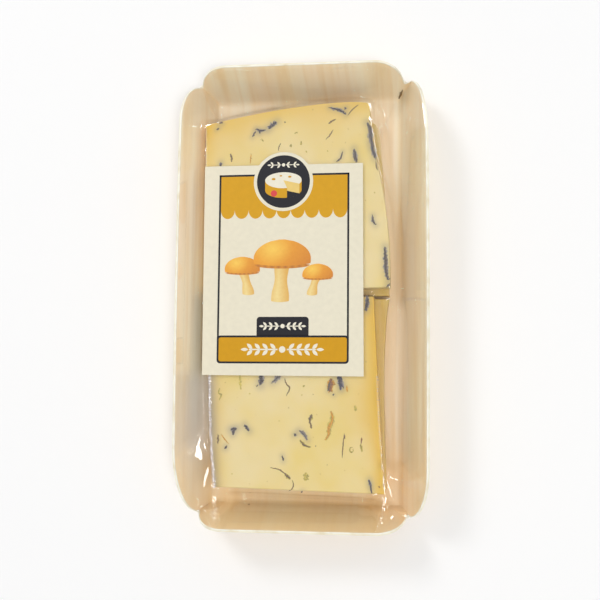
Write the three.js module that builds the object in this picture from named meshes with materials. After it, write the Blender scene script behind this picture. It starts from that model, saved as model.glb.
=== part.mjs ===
// Four slices of raclette cheese in a folded veneer tray, under a clear skin film with a paper label.
// Millimetres, +Z up. +Y runs along the tray, +X across it, and the origin is under the middle of its floor.

import * as THREE from 'three';

// Clearance left between pieces that touch
const GAP = 0.3;

// The tray is one sheet of veneer board with four flared walls. Its width swells a little halfway along.
const TRAY = {
  rimLength: 214,
  rimWidth: 114.8,
  height: 26.5,
  endFlare: 10.4,
  sideFlare: 12.6,
  sideBow: 0.7,
  board: 1.2,
  foldRadius: 2.5,
  endLobe: 13.5,
  endLobeInset: 1.56,
};

// Each corner of the rim dips in a notch between two rounded lobes, at this share of the wall's height.
// Where the end wall is cut narrower than the fold allows, the notch is tucked in by that much. The side
// wall's lobe beside it is this long, and starts this far in from the notch.
const NOTCHES = {
  frontRight: { share: 0.36, tuck: 0.7, sideLobe: 21, sideInset: 0.2 },
  backRight: { share: 0.42, tuck: 2.2, sideLobe: 30, sideInset: 0.2 },
  backLeft: { share: 0.5, tuck: 0.4, sideLobe: 19, sideInset: 1.8 },
  frontLeft: { share: 0.37, tuck: 0, sideLobe: 30, sideInset: 0.8 },
};

const LOBE_STEPS = 7;
const STRAIGHT_STEPS = { side: 24, end: 12 };
const FOLD_STEPS = 3;

// Two stacks of two slices, one stack behind the other
const SLICE_THICKNESS = 7;
const SLICE_BEVEL = 0.5;
const SLICE_BEVEL_STEPS = 2;
const SLICE_CURVE_STEPS = 10;
const UNDER_Z = TRAY.board + GAP;
const TOP_Z = UNDER_Z + SLICE_THICKNESS + GAP;

// The film is drawn down on the slices and the tray, and spans the hollows between them
const FILM = {
  thickness: 0.35,
  standOff: 0.35,
  edgeReach: 3.5,
  curvature: 0.6,
  cell: 1.5,
  sweeps: 600,
  overRelaxation: 1.9,
  rings: 13,
  plateau: { left: -38, right: 27, front: -81, back: 77 },
};

const LABEL = {
  thickness: 0.3,
  corners: [[-46.8, -37], [28.1, -37.3], [27.5, 61.3], [-47.1, 61.2]],
  badgeCentre: [-9.6, 53.3],
  badgeRadius: 14.05,
  badgeSteps: 40,
};

const halfFloor = {
  x: TRAY.rimWidth / 2 - TRAY.sideFlare,
  y: TRAY.rimLength / 2 - TRAY.endFlare,
};

// The side walls lean out a little further halfway along the tray
function sideFlareAt(y) {
  const along = y / (TRAY.rimLength / 2);
  return TRAY.sideFlare + TRAY.sideBow * (1 - along * along);
}

// How far a plane that leans out by flare over the wall's height shifts across for a normal offset
function acrossShift(flare, offset) {
  return offset * Math.hypot(1, flare / TRAY.height);
}

// One wall of the tray: out points away from the tray, along runs anticlockwise round it
function wall(outX, outY, steps, notchStart, notchEnd) {
  const isSide = outX !== 0;
  return {
    isSide,
    out: new THREE.Vector2(outX, outY),
    along: new THREE.Vector2(-outY, outX),
    across: isSide ? halfFloor.x : halfFloor.y,
    reach: isSide ? halfFloor.y : halfFloor.x,
    reachFlare: isSide ? TRAY.endFlare : TRAY.sideFlare,
    flareAt: isSide ? sideFlareAt : () => TRAY.endFlare,
    steps,
    notchStart,
    notchEnd,
  };
}

const WALLS = [
  wall(1, 0, STRAIGHT_STEPS.side, NOTCHES.frontRight, NOTCHES.backRight),
  wall(0, 1, STRAIGHT_STEPS.end, NOTCHES.backRight, NOTCHES.backLeft),
  wall(-1, 0, STRAIGHT_STEPS.side, NOTCHES.backLeft, NOTCHES.frontLeft),
  wall(0, -1, STRAIGHT_STEPS.end, NOTCHES.frontLeft, NOTCHES.frontRight),
];

// The top edge of a wall as [place along the wall, share of its height], from its first notch up to the next
function topEdge(side) {
  const reachAt = (share) => side.reach + side.reachFlare * share;
  const edge = [];
  const lobePoint = ({ share, tuck, sideLobe, sideInset }, k) => {
    const turn = (k / LOBE_STEPS) * (Math.PI / 2);
    const lobe = side.isSide ? sideLobe : TRAY.endLobe;
    const lobeInset = side.isSide ? sideInset : TRAY.endLobeInset + tuck;
    const inset = k === 0 ? 0 : lobeInset;
    return [reachAt(share) - inset - lobe * (1 - Math.cos(turn)), share + (1 - share) * Math.sin(turn)];
  };
  for (let k = 0; k <= LOBE_STEPS; k++) {
    const [s, share] = lobePoint(side.notchStart, k);
    edge.push([-s, share]);
  }
  const first = edge[edge.length - 1][0];
  const last = lobePoint(side.notchEnd, LOBE_STEPS)[0];
  for (let k = 1; k < side.steps; k++) edge.push([first + ((last - first) * k) / side.steps, 1]);
  for (let k = LOBE_STEPS; k > 0; k--) edge.push(lobePoint(side.notchEnd, k));
  return edge;
}

// Every place round the rim, with its fold point on the floor and its rim point, on the board's face
// that lies inset from the outside of the tray by the given depth
function boardFace(depth) {
  const stations = [];
  for (const side of WALLS) {
    const edge = topEdge(side);
    const startReach = -edge[0][0];
    edge.forEach(([s, share], k) => {
      const out2 = (across, along) =>
        side.out.clone().multiplyScalar(across).addScaledVector(side.along, along);
      const place = out2(0, s);
      const flare = side.flareAt(place.y);
      const acrossIn = acrossShift(flare, depth);
      const alongIn = acrossShift(side.reachFlare, depth);
      const rise = depth / TRAY.height;
      const foldAcross = side.across + flare * rise - acrossIn;
      const foldReach = side.reach + side.reachFlare * rise - alongIn;
      const fold = out2(foldAcross, (s / startReach) * foldReach);
      const tilt = Math.hypot(TRAY.height, flare);
      let rim;
      if (k === 0) {
        const z = share * TRAY.height + depth / 2;
        const high = z / TRAY.height;
        const reach = side.reach + side.reachFlare * high - alongIn;
        const at = out2(side.across + flare * high - acrossIn, -reach);
        rim = new THREE.Vector3(at.x - Math.sign(at.x) * side.notchStart.tuck, at.y, z);
      } else {
        const at = out2(side.across + flare * share - (depth * TRAY.height) / tilt, s);
        rim = new THREE.Vector3(at.x, at.y, share * TRAY.height + (depth * flare) / tilt);
      }
      stations.push({ fold: new THREE.Vector3(fold.x, fold.y, depth), rim });
    });
  }
  return stations;
}

// Rings of one face of the board, from its floor out round the fold and up to the rim
function faceRings(depth) {
  const stations = boardFace(depth);
  const rings = [];
  for (let k = 0; k <= FOLD_STEPS; k++) {
    const t = k / FOLD_STEPS;
    rings.push(stations.map(({ fold, rim }) => {
      const onFloor = new THREE.Vector3(
        fold.x * (1 - TRAY.foldRadius / halfFloor.x),
        fold.y * (1 - TRAY.foldRadius / halfFloor.y),
        fold.z,
      );
      const onWall = fold.clone().lerp(rim, TRAY.foldRadius / fold.distanceTo(rim));
      const curve = new THREE.QuadraticBezierCurve3(onFloor, fold, onWall);
      return curve.getPoint(t);
    }));
  }
  rings.push(stations.map(({ rim }) => rim));
  return rings;
}

// A closed body from rings of equal count, each ring anticlockwise seen from above, with a fan over the
// first ring, which faces down, and one over the last ring, which faces up
function closedFromRings(rings) {
  const count = rings[0].length;
  const positions = [];
  for (const ring of rings) for (const p of ring) positions.push(p.x, p.y, p.z);
  const index = [];
  for (let r = 0; r + 1 < rings.length; r++) {
    for (let i = 0; i < count; i++) {
      const j = (i + 1) % count;
      const a = r * count;
      const b = a + count;
      index.push(a + i, a + j, b + j, a + i, b + j, b + i);
    }
  }
  const lastRing = (rings.length - 1) * count;
  const middles = [rings[0], rings[rings.length - 1]].map((ring) => {
    const middle = ring.reduce((sum, p) => sum.add(p), new THREE.Vector3()).divideScalar(count);
    positions.push(middle.x, middle.y, middle.z);
    return positions.length / 3 - 1;
  });
  for (let i = 0; i < count; i++) {
    const j = (i + 1) % count;
    index.push(middles[0], j, i, middles[1], lastRing + i, lastRing + j);
  }
  const geometry = new THREE.BufferGeometry();
  geometry.setAttribute('position', new THREE.Float32BufferAttribute(positions, 3));
  geometry.setIndex(index);
  geometry.computeVertexNormals();
  return geometry;
}

function trayGeometry() {
  return closedFromRings([...faceRings(0), ...faceRings(TRAY.board).reverse()]);
}

// Offsets of the control points that bow a slice's sides and round its corner into the wheel's edge
const REAR_CURVES = {
  turnEnd: [-2.4, 0.6],
  crownRight: [14, 0.4],
  crownLeft: [-14, -1.2],
};
const FRONT_LEFT_BOW = 1.3;

// A point moved by an offset
function moved([x, y], [dx, dy]) {
  return [x + dx, y + dy];
}

// The rear slices end in the wheel's round edge. Each outline runs anticlockwise.
function rearSliceOutline({ left, right, frontY, frontRightY, rightEdge, corner, cornerLeft, crown }) {
  const shape = new THREE.Shape();
  shape.moveTo(left, frontY);
  shape.lineTo(right, frontRightY);
  const { turnEnd, crownRight, crownLeft } = REAR_CURVES;
  shape.bezierCurveTo(...rightEdge.flat());
  shape.quadraticCurveTo(...corner, ...moved(corner, turnEnd));
  shape.bezierCurveTo(...moved(crown, crownRight), ...moved(crown, crownLeft), ...cornerLeft);
  shape.closePath();
  return shape;
}

// The front slices are cut straight on all sides, and lean a little on their left
function frontSliceOutline({ backLeft, backRight, waist, frontRight, frontLeft }) {
  const shape = new THREE.Shape();
  shape.moveTo(...frontLeft);
  shape.lineTo(...frontRight);
  shape.quadraticCurveTo(...waist, ...backRight);
  shape.lineTo(...backLeft);
  const leftMiddle = [(backLeft[0] + frontLeft[0]) / 2, (backLeft[1] + frontLeft[1]) / 2];
  shape.quadraticCurveTo(...moved(leftMiddle, [-FRONT_LEFT_BOW, 0]), ...frontLeft);
  return shape;
}

const SLICES = [
  {
    name: 'slice_rear_top',
    z: TOP_Z,
    color: 0xe9d68c,
    shape: rearSliceOutline({
      left: -46.6,
      right: 40,
      frontY: 1.4,
      frontRightY: 3.5,
      rightEdge: [[40.3, 45], [34, 55.7], [30.5, 82.7]],
      corner: [31.3, 89.7],
      cornerLeft: [-47.4, 81.7],
      crown: [6, 91.6],
    }),
  },
  {
    name: 'slice_rear_under',
    z: UNDER_Z,
    color: 0xe0c678,
    shape: rearSliceOutline({
      left: -41.4,
      right: 39.2,
      frontY: 0.2,
      frontRightY: 0.3,
      rightEdge: [[38.4, 27.6], [36.9, 52.5], [34.8, 75]],
      corner: [34.2, 82],
      cornerLeft: [-41.6, 73],
      crown: [6, 84],
    }),
  },
  {
    name: 'slice_front_top',
    z: TOP_Z,
    color: 0xebd98f,
    shape: frontSliceOutline({
      backLeft: [-44.6, -0.9],
      backRight: [32.5, -0.7],
      waist: [34.6, -46],
      frontRight: [37.5, -89.9],
      frontLeft: [-40.5, -88.1],
    }),
  },
  {
    name: 'slice_front_under',
    z: UNDER_Z,
    color: 0xe0c678,
    shape: frontSliceOutline({
      backLeft: [-40.8, -1.2],
      backRight: [39.2, -1.2],
      waist: [35.2, -22],
      frontRight: [38, -88.4],
      frontLeft: [-38.6, -87.6],
    }),
  },
];

function sliceGeometry(shape) {
  const geometry = new THREE.ExtrudeGeometry(shape, {
    depth: SLICE_THICKNESS - 2 * SLICE_BEVEL,
    curveSegments: SLICE_CURVE_STEPS,
    bevelThickness: SLICE_BEVEL,
    bevelSize: SLICE_BEVEL,
    bevelOffset: -SLICE_BEVEL,
    bevelSegments: SLICE_BEVEL_STEPS,
  });
  return geometry.translate(0, 0, SLICE_BEVEL);
}

// How far a point lies outside an outline, or 0 where it is inside
function distanceOutside(x, y, outline) {
  let inside = false;
  let nearest = Infinity;
  for (let i = 0, j = outline.length - 1; i < outline.length; j = i++) {
    const a = outline[i];
    const b = outline[j];
    if (a.y > y !== b.y > y && x < ((b.x - a.x) * (y - a.y)) / (b.y - a.y) + a.x) inside = !inside;
    const ex = b.x - a.x;
    const ey = b.y - a.y;
    const along = THREE.MathUtils.clamp(((x - a.x) * ex + (y - a.y) * ey) / (ex * ex + ey * ey || 1), 0, 1);
    nearest = Math.min(nearest, Math.hypot(x - a.x - along * ex, y - a.y - along * ey));
  }
  return inside ? 0 : nearest;
}

// Height of the tray's inner face above a place, raised by a stand-off square to each panel
function trayHeight(x, y, standOff) {
  const depth = TRAY.board + standOff;
  const panel = (reach, half, flare) => ((reach - half + acrossShift(flare, depth)) * TRAY.height) / flare;
  const side = panel(Math.abs(x), halfFloor.x, sideFlareAt(y));
  const end = panel(Math.abs(y), halfFloor.y, TRAY.endFlare);
  return Math.max(depth, side, end);
}

// The film hangs as a taut skin that the vacuum pulls on to what lies below it
function drawnFilm() {
  const outlines = SLICES.map(({ shape, z }) => ({
    points: shape.getPoints(SLICE_CURVE_STEPS),
    top: z + SLICE_THICKNESS + FILM.standOff,
  }));
  const nx = Math.ceil(TRAY.rimWidth / 2 / FILM.cell) * 2 + 5;
  const ny = Math.ceil(TRAY.rimLength / 2 / FILM.cell) * 2 + 5;
  const xAt = (i) => (i - (nx - 1) / 2) * FILM.cell;
  const yAt = (j) => (j - (ny - 1) / 2) * FILM.cell;
  const floor = new Float64Array(nx * ny);
  for (let j = 0; j < ny; j++) {
    for (let i = 0; i < nx; i++) {
      const x = xAt(i);
      const y = yAt(j);
      let z = trayHeight(x, y, FILM.standOff);
      for (const { points, top } of outlines) {
        if (top > z && distanceOutside(x, y, points) < FILM.edgeReach) z = top;
      }
      floor[j * nx + i] = z;
    }
  }
  const height = new Float64Array(nx * ny).fill(TRAY.height);
  const pull = FILM.curvature * FILM.cell * FILM.cell;
  for (let j = 0; j < ny; j++) {
    for (let i = 0; i < nx; i++) {
      const k = j * nx + i;
      if (i === 0 || j === 0 || i === nx - 1 || j === ny - 1) height[k] = floor[k];
    }
  }
  for (let sweep = 0; sweep < FILM.sweeps; sweep++) {
    for (let j = 1; j < ny - 1; j++) {
      for (let i = 1; i < nx - 1; i++) {
        const k = j * nx + i;
        const rest = (height[k - 1] + height[k + 1] + height[k - nx] + height[k + nx] - pull) / 4;
        height[k] = Math.max(floor[k], height[k] + FILM.overRelaxation * (rest - height[k]));
      }
    }
  }
  return (x, y) => {
    const u = THREE.MathUtils.clamp(x / FILM.cell + (nx - 1) / 2, 0, nx - 1.001);
    const v = THREE.MathUtils.clamp(y / FILM.cell + (ny - 1) / 2, 0, ny - 1.001);
    const i = Math.floor(u);
    const j = Math.floor(v);
    const low = THREE.MathUtils.lerp(height[j * nx + i], height[j * nx + i + 1], u - i);
    const high = THREE.MathUtils.lerp(height[(j + 1) * nx + i], height[(j + 1) * nx + i + 1], u - i);
    return THREE.MathUtils.lerp(low, high, v - j);
  };
}

function filmGeometry() {
  const heightAt = drawnFilm();
  const { left, right, front, back } = FILM.plateau;
  const stations = boardFace(TRAY.board);
  const edge = boardFace(TRAY.board + FILM.standOff);
  const under = [];
  const over = [];
  for (let r = 0; r <= FILM.rings; r++) {
    const share = r / FILM.rings;
    const low = [];
    const high = [];
    edge.forEach(({ rim }, k) => {
      const { fold } = stations[k];
      const u = (fold.x / Math.abs(stations[0].fold.x) + 1) / 2;
      const v = (fold.y / Math.abs(stations[0].fold.y) + 1) / 2;
      const x = THREE.MathUtils.lerp(THREE.MathUtils.lerp(left, right, u), rim.x, share);
      const y = THREE.MathUtils.lerp(THREE.MathUtils.lerp(front, back, v), rim.y, share);
      const z = heightAt(x, y);
      const step = FILM.cell / 2;
      const normal = new THREE.Vector3(
        (heightAt(x - step, y) - heightAt(x + step, y)) / (2 * step),
        (heightAt(x, y - step) - heightAt(x, y + step)) / (2 * step),
        1,
      ).normalize();
      const point = new THREE.Vector3(x, y, z);
      low.push(point);
      high.push(point.clone().addScaledVector(normal, FILM.thickness));
    });
    under.push(low);
    over.push(high);
  }
  return closedFromRings([...under, ...over.reverse()]);
}

// The label is a cut rectangle whose round badge stands past its top edge
function labelGeometry() {
  const [frontLeft, frontRight, backRight, backLeft] = LABEL.corners;
  const [cx, cy] = LABEL.badgeCentre;
  const edgeY = (x) => THREE.MathUtils.mapLinear(x, backLeft[0], backRight[0], backLeft[1], backRight[1]);
  const rise = edgeY(cx) - cy;
  const halfChord = Math.sqrt(LABEL.badgeRadius ** 2 - rise ** 2);
  const startAngle = Math.atan2(edgeY(cx + halfChord) - cy, halfChord);
  const endAngle = Math.atan2(edgeY(cx - halfChord) - cy, -halfChord);
  const shape = new THREE.Shape();
  shape.moveTo(...frontLeft);
  shape.lineTo(...frontRight);
  shape.lineTo(...backRight);
  shape.absarc(cx, cy, LABEL.badgeRadius, startAngle, endAngle, false);
  shape.lineTo(...backLeft);
  shape.closePath();
  return new THREE.ExtrudeGeometry(shape, {
    depth: LABEL.thickness,
    bevelEnabled: false,
    curveSegments: LABEL.badgeSteps,
  });
}

const wood = new THREE.MeshStandardMaterial({ color: 0xd8bd94, roughness: 0.65, metalness: 0 });
const clearFilm = new THREE.MeshStandardMaterial({
  color: 0xf2f0ec,
  roughness: 0.1,
  metalness: 0,
  transparent: true,
  opacity: 0.25,
});
const paper = new THREE.MeshStandardMaterial({ color: 0xe8e2ce, roughness: 0.55, metalness: 0 });

function piece(name, geometry, material) {
  const mesh = new THREE.Mesh(geometry, material);
  mesh.name = name;
  return mesh;
}

const pack = new THREE.Group();
pack.add(piece('tray', trayGeometry(), wood));
for (const { name, shape, z, color } of SLICES) {
  const cheese = new THREE.MeshStandardMaterial({ color, roughness: 0.45, metalness: 0 });
  const slice = piece(name, sliceGeometry(shape), cheese);
  slice.position.z = z;
  pack.add(slice);
}
pack.add(piece('film', filmGeometry(), clearFilm));
const label = piece('label', labelGeometry(), paper);
label.position.z = TOP_Z + SLICE_THICKNESS + FILM.standOff + FILM.thickness + GAP;
pack.add(label);

export default pack;
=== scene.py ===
"""Sliced raclette with mushroom in a folded veneer tray, under a skin film with a paper label.

Lengths are millimetres up to the moment a mesh is made. +Z is up, +Y points to the tray's rear end
and +X to its right, and the origin is under the middle of the tray's floor.
"""

import logging
import math
from dataclasses import dataclass, field
from enum import Enum
from typing import Callable, Iterable, Sequence

import bpy
import numpy as np
from mathutils import Matrix, Vector

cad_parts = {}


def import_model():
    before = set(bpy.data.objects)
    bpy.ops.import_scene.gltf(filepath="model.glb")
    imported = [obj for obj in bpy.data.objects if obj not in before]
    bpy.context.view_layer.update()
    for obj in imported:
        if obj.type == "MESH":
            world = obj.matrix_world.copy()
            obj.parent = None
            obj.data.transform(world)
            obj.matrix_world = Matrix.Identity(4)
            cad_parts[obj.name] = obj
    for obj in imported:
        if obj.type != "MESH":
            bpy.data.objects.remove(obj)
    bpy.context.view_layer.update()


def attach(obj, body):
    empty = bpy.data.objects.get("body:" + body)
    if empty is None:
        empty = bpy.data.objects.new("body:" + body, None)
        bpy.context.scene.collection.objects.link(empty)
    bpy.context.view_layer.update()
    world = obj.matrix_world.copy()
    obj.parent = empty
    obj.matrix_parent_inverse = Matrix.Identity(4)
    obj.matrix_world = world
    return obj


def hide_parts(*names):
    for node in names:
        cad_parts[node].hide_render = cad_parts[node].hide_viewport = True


MM = 0.001
BODY = "root"
LOG = logging.getLogger("raclette_pack")

Place = tuple[float, float]
Colour = tuple[float, float, float]


def linear(red: float, green: float, blue: float) -> Colour:
    """Turns an 8-bit sRGB colour into a scene-linear one.

    Args:
        red: Red, 0 to 255.
        green: Green, 0 to 255.
        blue: Blue, 0 to 255.

    Returns:
        The three linear parts, 0 to 1.
    """
    parts = (np.array([red, green, blue]) / 255.0).tolist()
    return tuple(c / 12.92 if c <= 0.04045 else ((c + 0.055) / 1.055) ** 2.4 for c in parts)


class Tint(Enum):
    """Colours of the mushroom bits in the cheese, as 8-bit sRGB."""

    INK = (46, 45, 58)
    NAVY = (50, 54, 82)
    DARK = (78, 71, 68)
    GREY = (118, 115, 112)
    BROWN = (122, 98, 60)
    RUST = (146, 92, 52)
    OLIVE = (184, 166, 70)
    AMBER = (216, 156, 40)
    PALE = (203, 184, 84)
    HAZE = (150, 142, 138)

    @property
    def is_dark(self) -> bool:
        """Whether it is one of the dark blue-grey tints."""
        return self in (Tint.INK, Tint.NAVY, Tint.DARK, Tint.GREY)

    @property
    def deep(self) -> "Tint":
        """The tint of its shaded side."""
        return Tint.INK if self.is_dark else Tint.DARK if self in (Tint.BROWN, Tint.RUST) else self

    @property
    def mild(self) -> "Tint":
        """The tint of its thin, pale edge."""
        return Tint.PALE if self in (Tint.AMBER, Tint.OLIVE) else Tint.AMBER if self is Tint.RUST else Tint.OLIVE


class Ink(Enum):
    """Printing inks and the bare paper of the label, as 8-bit sRGB."""

    PAPER = (236, 229, 206)
    BLACK = (26, 26, 34)
    MUSTARD = (217, 161, 14)
    OCHRE = (212, 155, 2)
    PASTE = (238, 206, 122)
    CREAM = (240, 234, 214)
    RED = (221, 74, 74)


# Mesh gathering


def strip_faces(rows: int, columns: int, wrap: bool, first: int = 0) -> np.ndarray:
    """Quads between neighbouring rows of a grid of points.

    Args:
        rows: Number of rows.
        columns: Points in each row.
        wrap: Whether each row closes on itself.
        first: Index of the grid's first point.

    Returns:
        An array of four indices a face, each running along its row and then to the next row.
    """
    span = columns if wrap else columns - 1
    row, column = np.meshgrid(np.arange(rows - 1), np.arange(span), indexing="ij")
    here = row * columns + column
    beside = row * columns + (column + 1) % columns
    quads = np.stack([here, beside, beside + columns, here + columns], axis=-1)
    return quads.reshape(-1, 4) + first


def closed_plate_faces(rows: int, columns: int) -> list[tuple[int, ...]]:
    """Faces of a closed plate between an under grid and an over grid of the same places.

    Args:
        rows: Rows of each grid.
        columns: Points in each row, which run anticlockwise from the first row to the last.

    Returns:
        Faces over the points of the under grid followed by those of the over grid.
    """
    count = rows * columns
    under = [tuple(face[::-1]) for face in strip_faces(rows, columns, False)]
    over = [tuple(face) for face in strip_faces(rows, columns, False, count)]
    index = np.arange(count).reshape(rows, columns)
    ring = np.concatenate([index[0], index[1:, -1], index[-1, ::-1][1:], index[::-1, 0][1:-1]])
    sides = [(a, b, b + count, a + count) for a, b in zip(ring, np.roll(ring, -1))]
    return under + over + sides


class Shell:
    """Points, faces and point values gathered for one mesh, in millimetres."""

    def __init__(self) -> None:
        """Starts empty."""
        self.points: list[np.ndarray] = []
        self.faces: list[Sequence[int]] = []
        self.slots: list[int] = []
        self.values: dict[str, list[np.ndarray]] = {}
        self.count = 0

    def add(self, points: np.ndarray, faces: Iterable[Sequence[int]], slot: int = 0, **values: np.ndarray) -> None:
        """Adds points and the faces between them.

        Args:
            points: The points, one row each.
            faces: Faces as indices into these points.
            slot: Material slot of the faces.
            **values: A number or a colour for each point, by attribute name.
        """
        points = np.asarray(points, float)
        for face in faces:
            self.faces.append([int(i) + self.count for i in face])
            self.slots.append(slot)
        self.points.append(points)
        for name, value in values.items():
            self.values.setdefault(name, []).append(np.asarray(value, float))
        self.count += len(points)

    def build(self, name: str, materials: Sequence[bpy.types.Material], sharp_degrees: float = 35.0) -> bpy.types.Object:
        """Makes the mesh object, at the origin, in metres.

        Args:
            name: Name of the piece.
            materials: Material of each slot.
            sharp_degrees: Edges that bend more than this stay crisp.

        Returns:
            The new object.
        """
        mesh = bpy.data.meshes.new(name)
        mesh.from_pydata((np.concatenate(self.points) * MM).tolist(), [], self.faces)
        for material in materials:
            mesh.materials.append(material)
        mesh.polygons.foreach_set("material_index", self.slots)
        for key, parts in self.values.items():
            value = np.concatenate(parts)
            if value.ndim == 1:
                mesh.attributes.new(key, "FLOAT", "POINT").data.foreach_set("value", value)
            else:
                rgba = np.concatenate([value, np.ones((len(value), 1))], axis=1)
                mesh.attributes.new(key, "FLOAT_COLOR", "POINT").data.foreach_set("color", rgba.ravel())
        mesh.shade_smooth()
        mesh.set_sharp_from_angle(angle=math.radians(sharp_degrees))
        mesh.update()
        piece = bpy.data.objects.new(name, mesh)
        bpy.context.scene.collection.objects.link(piece)
        return piece


def polyline(name: str, points: np.ndarray, closed: bool) -> bpy.types.Object:
    """Makes a mesh of edges only, in metres, for a tree to follow.

    Args:
        name: Its name.
        points: Its points in millimetres.
        closed: Whether the last point joins the first.

    Returns:
        The object, which isn't a piece.
    """
    mesh = bpy.data.meshes.new(name)
    count = len(points)
    edges = [(i, (i + 1) % count) for i in range(count if closed else count - 1)]
    mesh.from_pydata((points * MM).tolist(), edges, [])
    line = bpy.data.objects.new(name, mesh)
    bpy.context.scene.collection.objects.link(line)
    return line


def discard(helper: bpy.types.Object) -> None:
    """Removes an object that was only a base for a tree."""
    mesh = helper.data
    bpy.data.objects.remove(helper)
    bpy.data.meshes.remove(mesh)


def settle(piece: bpy.types.Object, slot: str, *replaced: str) -> bpy.types.Object:
    """Fixes a finished piece to the pack and reports it.

    Args:
        piece: The finished piece.
        slot: Not used.
        *replaced: Frame nodes that it stands for.

    Returns:
        The same piece.
    """
    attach(piece, BODY)
    if replaced:
        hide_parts(*replaced)
    LOG.info("%s: %d faces", piece.name, len(piece.data.polygons))
    return piece


# Node trees


class Shader:
    """A material's node tree, built node by node."""

    def __init__(self, name: str) -> None:
        """Makes an empty material.

        Args:
            name: Name of the material.
        """
        self.material = bpy.data.materials.new(name)
        self.material.use_nodes = True
        self.tree = self.material.node_tree
        self.tree.nodes.clear()
        self.output = self.node("ShaderNodeOutputMaterial")

    def node(self, kind: str, settings: dict | None = None, **inputs: object) -> bpy.types.Node:
        """Adds a node.

        Args:
            kind: Blender's name of the node type.
            settings: Properties of the node.
            **inputs: Input values or sockets to link, by socket name with _ for a blank.

        Returns:
            The new node.
        """
        node = self.tree.nodes.new(kind)
        for key, value in (settings or {}).items():
            setattr(node, key, value)
        for key, value in inputs.items():
            self.feed(node, key.replace("_", " "), value)
        return node

    def feed(self, node: bpy.types.Node, name: str | int, value: object) -> None:
        """Sets or links one input.

        Args:
            node: The node.
            name: Name or index of the input.
            value: A plain value, a colour, or an output socket to link.
        """
        socket = node.inputs[name]
        if isinstance(value, bpy.types.NodeSocket):
            self.tree.links.new(value, socket)
        elif isinstance(value, tuple) and len(value) == 3 and socket.type == "RGBA":
            socket.default_value = (*value, 1.0)
        else:
            socket.default_value = value

    def mix(self, share: object, first: object, second: object, blend: str = "MIX") -> bpy.types.NodeSocket:
        """Mixes two colours.

        Args:
            share: Share of the second colour, a number or a socket.
            first: First colour or socket.
            second: Second colour or socket.
            blend: Blender's name of the blend.

        Returns:
            The mixed colour's socket.
        """
        node = self.tree.nodes.new("ShaderNodeMix")
        node.data_type = "RGBA"
        node.blend_type = blend
        self.feed(node, 0, share)
        self.feed(node, 6, first)
        self.feed(node, 7, second)
        return node.outputs[2]

    def math(self, operation: str, first: object, second: object = 0.0) -> bpy.types.NodeSocket:
        """Adds a Math node.

        Args:
            operation: Blender's name of the operation.
            first: First value or socket.
            second: Second value or socket.

        Returns:
            The result's socket.
        """
        node = self.tree.nodes.new("ShaderNodeMath")
        node.operation = operation
        self.feed(node, 0, first)
        self.feed(node, 1, second)
        return node.outputs[0]

    def ramp(self, value: object, low: float, high: float) -> bpy.types.NodeSocket:
        """Stretches a value so that low becomes 0 and high 1, and holds it there.

        Args:
            value: The value's socket.
            low: Value that becomes 0.
            high: Value that becomes 1.

        Returns:
            The stretched value's socket.
        """
        node = self.node("ShaderNodeMapRange", {"clamp": True}, Value=value, From_Min=low, From_Max=high)
        return node.outputs["Result"]

    def noise(self, place: object, stretch: tuple, scale: float, detail: float = 2.0) -> bpy.types.NodeSocket:
        """Adds a noise pattern over a stretched place.

        Args:
            place: The place's socket.
            stretch: Factors of the place's three parts.
            scale: Scale of the noise.
            detail: Detail of the noise.

        Returns:
            The pattern's value socket.
        """
        mapping = self.node("ShaderNodeMapping", Vector=place, Scale=stretch)
        noise = self.node("ShaderNodeTexNoise", Vector=mapping.outputs[0], Scale=scale, Detail=detail)
        return noise.outputs["Fac"]

    def finish(self, shader: bpy.types.NodeSocket) -> bpy.types.Material:
        """Links the surface and gives the material."""
        self.tree.links.new(shader, self.output.inputs["Surface"])
        return self.material


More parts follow.
